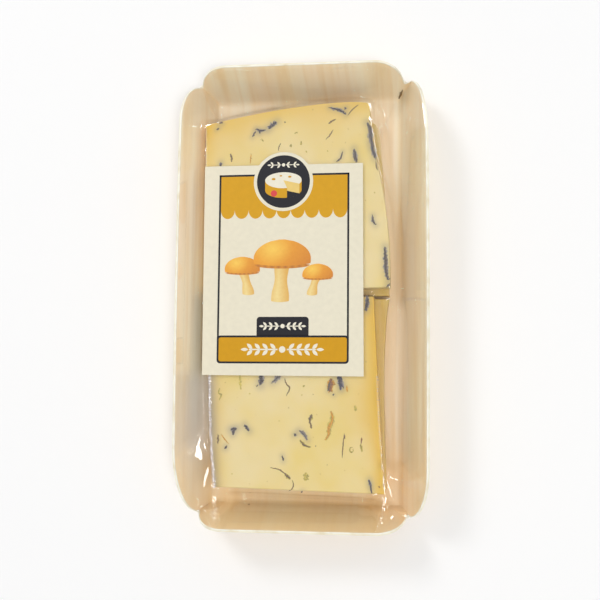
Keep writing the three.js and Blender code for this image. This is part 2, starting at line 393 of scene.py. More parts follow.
class PartTree:
    """A Geometry Nodes tree with named inputs that turns one mesh into another."""

    def __init__(self, name: str) -> None:
        """Makes a tree that takes and gives a geometry.

        Args:
            name: Name of the tree.
        """
        self.tree = bpy.data.node_groups.new(name, "GeometryNodeTree")
        self.tree.interface.new_socket("Geometry", in_out="INPUT", socket_type="NodeSocketGeometry")
        self.tree.interface.new_socket("Geometry", in_out="OUTPUT", socket_type="NodeSocketGeometry")
        self.entry = self.tree.nodes.new("NodeGroupInput")
        self.exit = self.tree.nodes.new("NodeGroupOutput")
        self.identifiers: dict[str, str] = {}

    def size(self, name: str, kind: str = "NodeSocketFloat") -> bpy.types.NodeSocket:
        """Adds a named input.

        Args:
            name: Name of the input.
            kind: Its socket type.

        Returns:
            The input's socket inside the tree.
        """
        item = self.tree.interface.new_socket(name, in_out="INPUT", socket_type=kind)
        self.identifiers[name] = item.identifier
        return self.entry.outputs[name]

    def node(self, kind: str, settings: dict | None = None, **inputs: object) -> bpy.types.Node:
        """Adds a node.

        Args:
            kind: Blender's name of the node type.
            settings: Properties of the node.
            **inputs: Values or sockets, by input name with _ for a blank.

        Returns:
            The new node.
        """
        node = self.tree.nodes.new(kind)
        for key, value in (settings or {}).items():
            setattr(node, key, value)
        for key, value in inputs.items():
            socket = node.inputs[key.replace("_", " ")]
            if isinstance(value, bpy.types.NodeSocket):
                self.tree.links.new(value, socket)
            else:
                socket.default_value = value
        return node

    def close(self, geometry: bpy.types.NodeSocket, material: bpy.types.Material) -> None:
        """Ends the tree in real geometry with its material.

        Args:
            geometry: The geometry's socket.
            material: Material of everything the tree makes.
        """
        real = self.node("GeometryNodeRealizeInstances", Geometry=geometry)
        dressed = self.node("GeometryNodeSetMaterial", Geometry=real.outputs[0], Material=material)
        self.tree.links.new(dressed.outputs[0], self.exit.inputs[0])

    def run(self, base: bpy.types.Object, name: str, **sizes: object) -> bpy.types.Object:
        """Runs the tree on an object and keeps the result as a plain mesh.

        Args:
            base: Object that the tree reads.
            name: Name of the new piece.
            **sizes: Values of the named inputs, with _ for a blank.

        Returns:
            The new object.
        """
        modifier = base.modifiers.new("parts", "NODES")
        modifier.node_group = self.tree
        for key, value in sizes.items():
            modifier[self.identifiers[key.replace("_", " ")]] = value
        graph = bpy.context.evaluated_depsgraph_get()
        mesh = bpy.data.meshes.new_from_object(base.evaluated_get(graph), depsgraph=graph)
        base.modifiers.remove(modifier)
        mesh.name = name
        piece = bpy.data.objects.new(name, mesh)
        bpy.context.scene.collection.objects.link(piece)
        return piece


# Finishes


@dataclass(frozen=True)
class VeneerFinish:
    """Sliced veneer. The pattern follows the unfolded sheet, in centimetres, with its grain along it; towards the
    front end it turns warmer and darker, painted shade.
    """

    pale: Colour = linear(255, 243, 214)
    body: Colour = linear(253, 231, 190)
    streak: Colour = linear(242, 209, 156)
    blush: Colour = linear(253, 227, 200)
    front_shade: Colour = linear(241, 204, 142)
    pore: Colour = linear(190, 148, 100)
    front_shade_start: float = -5.5
    front_shade_end: float = -11.5
    roughness: float = 0.6

    def material(self, name: str) -> bpy.types.Material:
        """Builds the material.

        Args:
            name: Name of the material.

        Returns:
            The material.
        """
        shader = Shader(name)
        sheet = shader.node("ShaderNodeUVMap", {"uv_map": "sheet"}).outputs[0]
        along = shader.node("ShaderNodeSeparateXYZ", Vector=sheet).outputs["Y"]
        broad = shader.noise(sheet, (1.0, 0.06, 1.0), 0.9, 2.0)
        band = shader.noise(sheet, (1.0, 0.05, 1.0), 2.6, 2.0)
        fine = shader.noise(sheet, (1.0, 0.03, 1.0), 9.0, 3.0)
        patch = shader.noise(sheet, (1.0, 0.35, 1.0), 0.3, 1.0)
        dash = shader.noise(sheet, (1.0, 0.045, 1.0), 40.0, 1.0)
        colour = shader.mix(shader.ramp(broad, 0.36, 0.62), self.pale, self.body)
        colour = shader.mix(shader.math("MULTIPLY", shader.ramp(patch, 0.42, 0.62), 0.5), colour, self.blush)
        colour = shader.mix(shader.math("MULTIPLY", shader.ramp(band, 0.48, 0.72), 0.45), colour, self.streak)
        colour = shader.mix(shader.math("MULTIPLY", shader.ramp(fine, 0.5, 0.74), 0.13), colour, self.streak)
        # Warmer and darker towards the front end of the sheet: painted shade.
        front_shaded = shader.ramp(along, self.front_shade_start, self.front_shade_end)
        colour = shader.mix(shader.math("MULTIPLY", front_shaded, 0.65), colour, self.front_shade)
        pores = shader.math("MULTIPLY", shader.ramp(dash, 0.68, 0.78), 0.2)
        colour = shader.mix(pores, colour, self.pore)
        bump = shader.node("ShaderNodeBump", Strength=0.2, Distance=0.0002, Height=fine)
        surface = shader.node(
            "ShaderNodeBsdfPrincipled",
            Base_Color=colour,
            Roughness=self.roughness,
            Normal=bump.outputs[0],
        )
        return shader.finish(surface.outputs[0])


@dataclass(frozen=True)
class EdgeFinish:
    """The cut edge of the veneer board and the pale seal of the film along it."""

    colour: Colour = linear(252, 248, 228)
    shadow: Colour = linear(236, 222, 186)
    roughness: float = 0.4

    def material(self, name: str) -> bpy.types.Material:
        """Builds the material."""
        shader = Shader(name)
        place = shader.node("ShaderNodeTexCoord").outputs["Object"]
        patch = shader.noise(place, (1.0, 1.0, 1.0), 160.0, 3.0)
        colour = shader.mix(shader.ramp(patch, 0.45, 0.8), self.colour, self.shadow)
        surface = shader.node("ShaderNodeBsdfPrincipled", Base_Color=colour, Roughness=self.roughness)
        return shader.finish(surface.outputs[0])


@dataclass(frozen=True)
class CheeseFinish:
    """Semi-hard cheese paste. Point values gild it near the rind side, stain it round mushroom, and grey it with
    painted shade along some edges and over the lower slices.
    """

    pale: Colour = linear(238, 219, 163)
    mellow: Colour = linear(235, 211, 128)
    gold: Colour = linear(231, 187, 50)
    stain: Colour = linear(144, 134, 124)
    roughness: float = 0.4

    def material(self) -> bpy.types.Material:
        """Builds the material."""
        shader = Shader("cheese_paste")
        place = shader.node("ShaderNodeTexCoord").outputs["Object"]
        gilt = shader.node("ShaderNodeAttribute", {"attribute_name": "gilt"}).outputs["Fac"]
        stain = shader.node("ShaderNodeAttribute", {"attribute_name": "stain"}).outputs["Fac"]
        cloud = shader.noise(place, (1.0, 1.0, 1.0), 45.0, 2.0)
        grain = shader.noise(place, (1.0, 1.0, 1.0), 900.0, 2.0)
        colour = shader.mix(shader.ramp(cloud, 0.35, 0.72), self.pale, self.mellow)
        colour = shader.mix(gilt, colour, self.gold)
        # Greys the paste: real stains round the dark bits plus painted shade.
        colour = shader.mix(stain, colour, self.stain)
        bump = shader.node("ShaderNodeBump", Strength=0.12, Distance=0.0002, Height=grain)
        surface = shader.node(
            "ShaderNodeBsdfPrincipled",
            Base_Color=colour,
            Roughness=self.roughness,
            Subsurface_Weight=0.22,
            Subsurface_Radius=(1.0, 0.75, 0.4),
            Subsurface_Scale=0.0015,
            Normal=bump.outputs[0],
        )
        return shader.finish(surface.outputs[0])


@dataclass(frozen=True)
class BitFinish:
    """Moist mushroom bits, with their colour on their points."""

    flesh: Colour = linear(128, 102, 70)
    mottled: float = 0.3
    roughness: float = 0.45

    def material(self, name: str) -> bpy.types.Material:
        """Builds the material."""
        shader = Shader(name)
        tone = shader.node("ShaderNodeAttribute", {"attribute_name": "tone"}).outputs["Color"]
        place = shader.node("ShaderNodeTexCoord").outputs["Object"]
        mottle = shader.ramp(shader.noise(place, (1.0, 1.0, 1.0), 1400.0, 2.0), 0.35, 0.7)
        colour = shader.mix(shader.math("MULTIPLY", mottle, self.mottled), tone, self.flesh)
        surface = shader.node("ShaderNodeBsdfPrincipled", Base_Color=colour, Roughness=self.roughness)
        return shader.finish(surface.outputs[0])


@dataclass(frozen=True)
class SpeckFinish:
    """Fine specks of mushroom, from straw to brown by their place."""

    straw: Colour = linear(206, 176, 98)
    brown: Colour = linear(132, 108, 66)
    roughness: float = 0.5

    def material(self) -> bpy.types.Material:
        """Builds the material."""
        shader = Shader("mushroom_specks")
        place = shader.node("ShaderNodeTexCoord").outputs["Object"]
        choice = shader.ramp(shader.noise(place, (1.0, 1.0, 1.0), 160.0, 1.0), 0.45, 0.7)
        colour = shader.mix(choice, self.straw, self.brown)
        surface = shader.node("ShaderNodeBsdfPrincipled", Base_Color=colour, Roughness=self.roughness)
        return shader.finish(surface.outputs[0])


@dataclass(frozen=True)
class FilmFinish:
    """Clear packing film: see-through, with gloss that grows towards grazing angles, and a white layer, lit as if it
    faced straight up, on the marked stretches: painted highlight and sheen, partly real stretch whitening.
    """

    index: float = 1.5
    roughness: float = 0.07
    faces: float = 1.7
    most: float = 0.55
    sheen_veil: Colour = linear(252, 249, 253)

    def material(self) -> bpy.types.Material:
        """Builds the material."""
        shader = Shader("clear_film")
        gloss = shader.node("ShaderNodeFresnel", IOR=self.index).outputs[0]
        outer = shader.math("SUBTRACT", 1.0, shader.node("ShaderNodeNewGeometry").outputs["Backfacing"])
        both_faces = shader.math("MINIMUM", shader.math("MULTIPLY", gloss, self.faces), self.most)
        clear = shader.node("ShaderNodeBsdfTransparent", Color=(1.0, 1.0, 1.0))
        sheen = shader.node("ShaderNodeBsdfGlossy", Color=(1.0, 1.0, 1.0), Roughness=self.roughness)
        # The white layer: painted highlight and sheen on the marked stretches, partly real stretch whitening; it faces
        # straight up and lets shadow rays through.
        milk = shader.node("ShaderNodeAttribute", {"attribute_name": "milk"}).outputs["Fac"]
        seen = shader.math("SUBTRACT", 1.0, shader.node("ShaderNodeLightPath").outputs["Is Shadow Ray"])
        sheen_share = shader.math("MULTIPLY", shader.math("MULTIPLY", milk, outer), seen)
        upwards = shader.node("ShaderNodeCombineXYZ", Z=1.0).outputs[0]
        sheen_veil = shader.node("ShaderNodeBsdfDiffuse", Color=self.sheen_veil, Normal=upwards)
        frosted_sheen = shader.node("ShaderNodeMixShader")
        shader.feed(frosted_sheen, 0, sheen_share)
        shader.feed(frosted_sheen, 1, clear.outputs[0])
        shader.feed(frosted_sheen, 2, sheen_veil.outputs[0])
        mixed = shader.node("ShaderNodeMixShader")
        shader.feed(mixed, 0, shader.math("MULTIPLY", both_faces, outer))
        shader.feed(mixed, 1, frosted_sheen.outputs[0])
        shader.feed(mixed, 2, sheen.outputs[0])
        return shader.finish(mixed.outputs[0])


@dataclass(frozen=True)
class PaperFinish:
    """Coated label paper or one flat printing ink on it."""

    ink: Ink
    worn: float = 0.94

    def material(self) -> bpy.types.Material:
        """Builds the material."""
        shader = Shader("label_" + self.ink.name.lower())
        place = shader.node("ShaderNodeTexCoord").outputs["Object"]
        mottle = shader.ramp(shader.noise(place, (1.0, 1.0, 1.0), 420.0, 3.0), 0.25, 0.75)
        base = linear(*self.ink.value)
        colour = shader.mix(mottle, base, tuple(self.worn * c for c in base))
        fibres = shader.noise(place, (1.0, 1.0, 1.0), 1800.0, 2.0)
        bump = shader.node("ShaderNodeBump", Strength=0.08, Distance=0.0001, Height=fibres)
        surface = shader.node(
            "ShaderNodeBsdfPrincipled",
            Base_Color=colour,
            Roughness=0.5,
            Specular_IOR_Level=0.25,
            Normal=bump.outputs[0],
        )
        return shader.finish(surface.outputs[0])


@dataclass(frozen=True)
class PictureFinish:
    """The label's picture, with its colour on its points and a fine print grain."""

    grain: float = 0.25

    def material(self) -> bpy.types.Material:
        """Builds the material."""
        shader = Shader("label_picture")
        tone = shader.node("ShaderNodeAttribute", {"attribute_name": "tone"}).outputs["Color"]
        place = shader.node("ShaderNodeTexCoord").outputs["Object"]
        speckle = shader.ramp(shader.noise(place, (1.0, 1.0, 1.0), 700.0, 3.0), 0.35, 0.75)
        shaded = shader.mix(1.0, tone, (0.82, 0.7, 0.5), "MULTIPLY")
        colour = shader.mix(shader.math("MULTIPLY", speckle, self.grain), tone, shaded)
        surface = shader.node("ShaderNodeBsdfPrincipled", Base_Color=colour, Roughness=0.5)
        return shader.finish(surface.outputs[0])


# Tray


@dataclass(frozen=True)
class Notch:
    """A dip of the rim at a corner, at a share of the wall's height, tucked in by some millimetres.

    The side wall's lobe beside it has its own length and starts some way in from the notch.
    """

    share: float
    tuck: float
    side_lobe: float
    side_inset: float


@dataclass(frozen=True)
class Wall:
    """One wall: the way it faces, its steps along the top, and the notches at its two ends."""

    out: tuple[int, int]
    steps: int
    first: Notch
    last: Notch

    @property
    def along(self) -> tuple[int, int]:
        """Direction anticlockwise round the tray."""
        return (-self.out[1], self.out[0])

    @property
    def is_side(self) -> bool:
        """Whether this is one of the two long walls."""
        return self.out[0] != 0


@dataclass
class Tray:
    """A tray folded from one sheet of veneer board, with four flared walls and notched corners."""

    rim_length: float = 214.0
    rim_width: float = 114.8
    height: float = 26.5
    end_flare: float = 10.4
    side_flare: float = 12.6
    side_bow: float = 0.7
    board: float = 1.2
    fold_radius: float = 2.5
    end_lobe: float = 13.5
    end_lobe_inset: float = 1.56
    edge_round: float = 0.15
    seal_radius: float = 0.3
    ear_thickness: float = 0.22
    ear_bow: float = 0.8
    lobe_steps: int = 16
    fold_steps: int = 6
    wall_rows: int = 8
    front_right: Notch = Notch(0.36, 0.7, 21.0, 0.2)
    back_right: Notch = Notch(0.42, 2.2, 30.0, 0.2)
    back_left: Notch = Notch(0.5, 0.4, 19.0, 1.8)
    front_left: Notch = Notch(0.37, 0.0, 30.0, 0.8)

    @property
    def half_floor(self) -> Place:
        """Half the floor's width and length, out to the folds."""
        return (self.rim_width / 2 - self.side_flare, self.rim_length / 2 - self.end_flare)

    def flare_at(self, y: np.ndarray) -> np.ndarray:
        """How far a side wall leans out over its height, at a place along the tray."""
        along = y / (self.rim_length / 2)
        return self.side_flare + self.side_bow * (1 - along * along)

    def walls(self, side_steps: int, end_steps: int) -> list[Wall]:
        """The four walls, anticlockwise from the right one."""
        return [
            Wall((1, 0), side_steps, self.front_right, self.back_right),
            Wall((0, 1), end_steps, self.back_right, self.back_left),
            Wall((-1, 0), side_steps, self.back_left, self.front_left),
            Wall((0, -1), end_steps, self.front_left, self.front_right),
        ]

    def lobe_point(self, wall: Wall, notch: Notch, k: int) -> Place:
        """A point of the rounded lobe beside a notch.

        Args:
            wall: The wall that the lobe belongs to.
            notch: The notch.
            k: Step along the lobe, 0 at the notch.

        Returns:
            Its distance from the wall's middle and its share of the wall's height.
        """
        turn = k / self.lobe_steps * math.pi / 2
        reach = self.half_floor[1] if wall.is_side else self.half_floor[0]
        reach_flare = self.end_flare if wall.is_side else self.side_flare
        lobe = notch.side_lobe if wall.is_side else self.end_lobe
        lobe_inset = notch.side_inset if wall.is_side else self.end_lobe_inset + notch.tuck
        inset = 0.0 if k == 0 else lobe_inset
        place = reach + reach_flare * notch.share - inset - lobe * (1 - math.cos(turn))
        return (place, notch.share + (1 - notch.share) * math.sin(turn))

    def top_edge(self, wall: Wall) -> list[Place]:
        """The wall's top edge from its first notch up to the next, as place along it and share of its height."""
        rising = [self.lobe_point(wall, wall.first, k) for k in range(self.lobe_steps + 1)]
        falling = [self.lobe_point(wall, wall.last, k) for k in range(self.lobe_steps, 0, -1)]
        start, end = -rising[-1][0], falling[0][0]
        straight = [(start + (end - start) * k / wall.steps, 1.0) for k in range(1, wall.steps)]
        return [(-s, share) for s, share in rising] + straight + falling

    def face(self, depth: float, side_steps: int, end_steps: int) -> tuple[np.ndarray, np.ndarray, np.ndarray]:
        """Places round one face of the board.

        Args:
            depth: How far the face lies in from the outside of the tray.
            side_steps: Steps along the straight top of each side wall.
            end_steps: Steps along the straight top of each end wall.

        Returns:
            Fold points, rim points and the wall's number, one row for each place round the rim.
        """
        folds, rims, numbers = [], [], []
        rise = depth / self.height
        for number, wall in enumerate(self.walls(side_steps, end_steps)):
            across = self.half_floor[0] if wall.is_side else self.half_floor[1]
            reach = self.half_floor[1] if wall.is_side else self.half_floor[0]
            reach_flare = self.end_flare if wall.is_side else self.side_flare
            edge = self.top_edge(wall)
            along_in = depth * math.hypot(1, reach_flare / self.height)
            for k, (s, share) in enumerate(edge):
                y = wall.along[1] * s
                flare = float(self.flare_at(y)) if wall.is_side else self.end_flare
                across_in = depth * math.hypot(1, flare / self.height)
                fold_across = across + flare * rise - across_in
                fold_along = s / -edge[0][0] * (reach + reach_flare * rise - along_in)
                folds.append(self.at(wall, fold_across, fold_along, depth))
                tilt = math.hypot(self.height, flare)
                if k == 0:
                    z = share * self.height + depth / 2
                    high = z / self.height
                    point = self.at(wall, across + flare * high - across_in, -(reach + reach_flare * high - along_in), z)
                    point[0] -= math.copysign(wall.first.tuck, point[0])
                else:
                    in_plan = across + flare * share - depth * self.height / tilt
                    point = self.at(wall, in_plan, s, share * self.height + depth * flare / tilt)
                rims.append(point)
                numbers.append(number)
        return np.array(folds), np.array(rims), np.array(numbers)

    @staticmethod
    def at(wall: Wall, across: float, along: float, z: float) -> list[float]:
        """A point from its distances across and along a wall."""
        return [wall.out[0] * across + wall.along[0] * along, wall.out[1] * across + wall.along[1] * along, z]

    def rows(self, depth: float, side_steps: int, end_steps: int) -> tuple[list[np.ndarray], np.ndarray]:
        """Rings of one face, from its floor round the fold and up to just under the rim.

        Args:
            depth: How far the face lies in from the outside.
            side_steps: Steps along a side wall.
            end_steps: Steps along an end wall.

        Returns:
            The rings and the wall's number for each place round them.
        """
        folds, rims, numbers = self.face(depth, side_steps, end_steps)
        half = np.array([*self.half_floor, 1.0])
        on_floor = folds * (1 - np.array([self.fold_radius, self.fold_radius, 0.0]) / half)
        climb = np.linalg.norm(rims - folds, axis=1, keepdims=True)
        on_wall = folds + (rims - folds) * self.fold_radius / climb
        top = rims + (folds - rims) * self.edge_round / climb
        rings = []
        for k in range(self.fold_steps + 1):
            t = k / self.fold_steps
            rings.append((1 - t) ** 2 * on_floor + 2 * t * (1 - t) * folds + t * t * on_wall)
        for k in range(1, self.wall_rows + 1):
            rings.append(on_wall + (top - on_wall) * k / self.wall_rows)
        return rings, numbers

    def sheet_places(self, points: np.ndarray, wall: Wall) -> np.ndarray:
        """Where points of a wall or of the floor beside it lie on the unfolded sheet, in centimetres."""
        half = self.half_floor[0] if wall.is_side else self.half_floor[1]
        axis = 0 if wall.is_side else 1
        across = points[:, axis] * wall.out[axis]
        climbed = np.where(across > half - self.fold_radius, np.hypot(np.maximum(across - half, 0.0), points[:, 2]), 0)
        flat = points[:, :2].copy()
        flat[:, axis] = wall.out[axis] * (np.minimum(across, half) + climbed)
        return flat / 10

    def unfold(self, piece: bpy.types.Object, numbers: np.ndarray) -> None:
        """Gives a piece its map on to the unfolded sheet.

        Args:
            piece: The tray or a part of it.
            numbers: Number of the wall that each face belongs to.
        """
        mesh = piece.data
        walls = self.walls(1, 1)
        points = np.empty(len(mesh.vertices) * 3)
        mesh.vertices.foreach_get("co", points)
        points = points.reshape(-1, 3) / MM
        places = np.stack([self.sheet_places(points, wall) for wall in walls])
        loop_points = np.empty(len(mesh.loops), int)
        mesh.loops.foreach_get("vertex_index", loop_points)
        totals = np.array([len(face.vertices) for face in mesh.polygons])
        loop_walls = np.repeat(numbers, totals)
        layer = mesh.uv_layers.new(name="sheet")
        layer.data.foreach_set("uv", places[loop_walls, loop_points].ravel())

    def build(self) -> bpy.types.Object:
        """Builds the tray as one closed board with softened edges."""
        outer, numbers = self.rows(0.0, 60, 30)
        inner, _ = self.rows(self.board, 60, 30)
        _, outer_rim, _ = self.face(0.0, 60, 30)
        _, inner_rim, _ = self.face(self.board, 60, 30)
        soft = self.edge_round / self.board
        lip = [outer_rim + (inner_rim - outer_rim) * t for t in (soft, 1 - soft)]
        rings = [*outer, *lip, *reversed(inner)]
        count = len(numbers)
        shell = Shell()
        faces = strip_faces(len(rings), count, True)
        shell.add(np.concatenate(rings), faces)
        edge_rows = range(len(outer) - 1, len(outer) + 2)
        for row in edge_rows:
            for i in range(count):
                shell.slots[row * count + i] = 1
        middle = np.array([[0.0, 0.0, 0.0], [0.0, 0.0, self.board]])
        last = (len(rings) - 1) * count
        fans = [(count * len(rings), (i + 1) % count, i) for i in range(count)]
        fans += [(count * len(rings) + 1, last + i, last + (i + 1) % count) for i in range(count)]
        shell.count = 0
        shell.add(middle, [])
        shell.faces.extend(list(face) for face in fans)
        shell.slots.extend([0] * len(fans))
        veneer = VeneerFinish().material("veneer")
        piece = shell.build("veneer_tray", [veneer, EdgeFinish().material("cut_edge")], 50.0)
        walls_of_faces = np.concatenate([np.tile(numbers, len(rings) - 1), numbers, numbers])
        self.unfold(piece, walls_of_faces)
        return settle(piece, "veneer", "tray")

    def build_seal(self) -> bpy.types.Object:
        """Builds the film's seal along the inner edge of the rim as a near-white bead, partly the seal itself and
        partly a painted highlight.
        """
        _, rim, _ = self.face(self.board, 60, 30)
        base = polyline("seal_line", rim + np.array([0.0, 0.0, 0.05]), True)
        tree = PartTree("bead_along_line")
        radius, step = tree.size("Radius"), tree.size("Step")
        curve = tree.node("GeometryNodeMeshToCurve", Mesh=tree.entry.outputs["Geometry"])
        even = tree.node("GeometryNodeResampleCurve", {"mode": "LENGTH"}, Curve=curve.outputs[0], Length=step)
        ring = tree.node("GeometryNodeCurvePrimitiveCircle", {"mode": "RADIUS"}, Resolution=8, Radius=radius)
        bead = tree.node("GeometryNodeCurveToMesh", Curve=even.outputs[0])
        tree.tree.links.new(ring.outputs[0], bead.inputs["Profile Curve"])
        # Near-white bead: the film's seal, with the bright line along the rim painted in as highlight.
        tree.close(bead.outputs[0], EdgeFinish(linear(255, 253, 240)).material("film_seal"))
        piece = tree.run(base, "film_seal", Radius=self.seal_radius * MM, Step=1.1 * MM)
        discard(base)
        piece.data.shade_smooth()
        return settle(piece, "veneer")

    def patch(self, wall: Wall, at_start: bool, low_reach: float, high_reach: float, rise: float) -> Shell:
        """An ear of veneer glued on the inner face of a wall, beside its corner crease.

        Args:
            wall: The wall.
            at_start: Whether it lies at the wall's first corner.
            low_reach: How far it reaches from the crease at the fold.
            high_reach: How far it reaches from the crease at its top.
            rise: Its height as a share of the crease's height.

        Returns:
            The ear as a closed plate.
        """
        notch = wall.first if at_start else wall.last
        way = -1 if at_start else 1
        across0 = self.half_floor[0] if wall.is_side else self.half_floor[1]
        reach0 = self.half_floor[1] if wall.is_side else self.half_floor[0]
        reach_flare = self.end_flare if wall.is_side else self.side_flare
        low, top = 0.07, notch.share * rise
        shell = Shell()
        grids = []
        for depth in (self.board - 0.15, self.board + self.ear_thickness):
            rows = []
            for v in np.linspace(0, 1, 9):
                share = low + (top - low) * v
                crease = reach0 + reach_flare * share - depth * math.hypot(1, reach_flare / self.height)
                reach = low_reach + (high_reach - low_reach) * v + self.ear_bow * math.sin(math.pi * v)
                row = []
                for u in np.linspace(0, 1, 9):
                    s = way * (crease - 0.15 - reach * u)
                    flare = float(self.flare_at(wall.along[1] * s)) if wall.is_side else self.end_flare
                    across = across0 + flare * share - depth * math.hypot(1, flare / self.height)
                    row.append(self.at(wall, across, s, share * self.height))
                rows.append(row)
            grids.append(np.array(rows))
        outer, inner = grids
        if not at_start:
            outer, inner = outer[:, ::-1], inner[:, ::-1]
        shell.add(np.concatenate([outer.reshape(-1, 3), inner.reshape(-1, 3)]), closed_plate_faces(9, 9))
        return shell

    def build_ears(self) -> None:
        """Builds the ears that show on the walls' inner faces at the corners."""
        _, _, left, front = self.walls(60, 30)
        ears = {
            "ear_back_left": (left, True, 9.5, 0.6, 1.0),
            "ear_front_left": (front, True, 6.0, 4.4, 0.98),
            "ear_front_right": (front, False, 5.0, 3.0, 0.9),
        }
        # The ears take a slightly darker copy of the veneer: painted shade.
        shade = VeneerFinish(
            pale=linear(250, 232, 200),
            body=linear(246, 221, 180),
            blush=linear(247, 220, 190),
        ).material("ear_veneer_shaded")
        for name, (wall, at_start, low, high, rise) in ears.items():
            shell = self.patch(wall, at_start, low, high, rise)
            piece = shell.build(name, [shade], 40.0)
            self.unfold(piece, np.full(len(piece.data.polygons), self.walls(60, 30).index(wall)))
            settle(piece, "veneer")

    def build_marks(self) -> None:
        """Builds the knot speck at the front fold and, in the rear right corner, a brown sliver painted as the shadow
        in the open slit.
        """
        maker = BitMaker(11)
        knot = smooth_path(np.array([(-26.0, -96.0), (-26.5, -97.0)]), 7)
        maker.sliver(knot, 0.9, lambda p: self.inner_height(p[:, 0], p[:, 1], 0.0), 0.06, Tint.RUST)
        # The open slit's shadow, painted as a brown sliver on the wall.
        slit_shadow = smooth_path(np.array([(45.6, 98.2), (44.4, 96.9), (43.3, 95.2)]), 9)
        maker.sliver(slit_shadow, 0.9, lambda p: self.inner_height(p[:, 0], p[:, 1], 0.25), 0.06, Tint.BROWN)
        settle(maker.shell.build("veneer_marks", [BitFinish().material("veneer_mark")], 60.0), "veneer")

    def inner_height(self, x: np.ndarray, y: np.ndarray, stand_off: float) -> np.ndarray:
        """Height of the tray's inner face, raised by a stand-off square to each panel.

        Args:
            x: Places across the tray.
            y: Places along it.
            stand_off: Distance from the board.

        Returns:
            The heights.
        """
        depth = self.board + stand_off
        flare = self.flare_at(y)
        side = (np.abs(x) - self.half_floor[0]) / flare + depth * np.hypot(1, flare / self.height) / flare
        lean = self.end_flare
        end = (np.abs(y) - self.half_floor[1]) / lean + depth * math.hypot(1, lean / self.height) / lean
        return np.maximum(depth, self.height * np.maximum(side, end))


# Cheese


@dataclass(frozen=True)
class Fleck:
    """A mushroom bit that shows in a cut face: its colour, its width and the places it runs through."""

    tint: Tint
    width: float
    places: tuple[Place, ...]

    @property
    def stains(self) -> bool:
        """Whether the paste round it is stained."""
        return self.tint.is_dark and self.width > 0.65


def fleck(tint: Tint, width: float, *places: Place) -> Fleck:
    """Shorthand for one mushroom bit."""
    return Fleck(tint, width, places)


def smooth_path(places: np.ndarray, count: int) -> np.ndarray:
    """Points at even steps of a smooth curve through some places.

    Args:
        places: The places, one row each.
        count: Number of points.

    Returns:
        The points.
    """
    padded = np.vstack([2 * places[0] - places[1], places, 2 * places[-1] - places[-2]])
    t = np.linspace(0, len(places) - 1, 24 * (len(places) - 1) + 1)
    k = np.minimum(t.astype(int), len(places) - 2)
    f = (t - k)[:, None]
    a, b, c, d = (padded[k + i] for i in range(4))
    dense = 0.5 * (2 * b + (c - a) * f + (2 * a - 5 * b + 4 * c - d) * f**2 + (3 * b - a - 3 * c + d) * f**3)
    return even_path(dense, np.linspace(0, 1, count))


def even_path(path: np.ndarray, shares: np.ndarray) -> np.ndarray:
    """Points at shares of a polyline's length."""
    run = np.concatenate([[0], np.cumsum(np.linalg.norm(np.diff(path, axis=0), axis=1))])
    return np.stack([np.interp(shares * run[-1], run, part) for part in path.T], axis=1)


def bezier(controls: Sequence[Place], count: int = 40) -> np.ndarray:
    """Points of a Bezier curve of any order."""
    t = np.linspace(0, 1, count)[:, None]
    order = len(controls) - 1
    weights = [math.comb(order, k) * t**k * (1 - t) ** (order - k) for k in range(order + 1)]
    return sum(w * np.array(p, float) for w, p in zip(weights, controls))


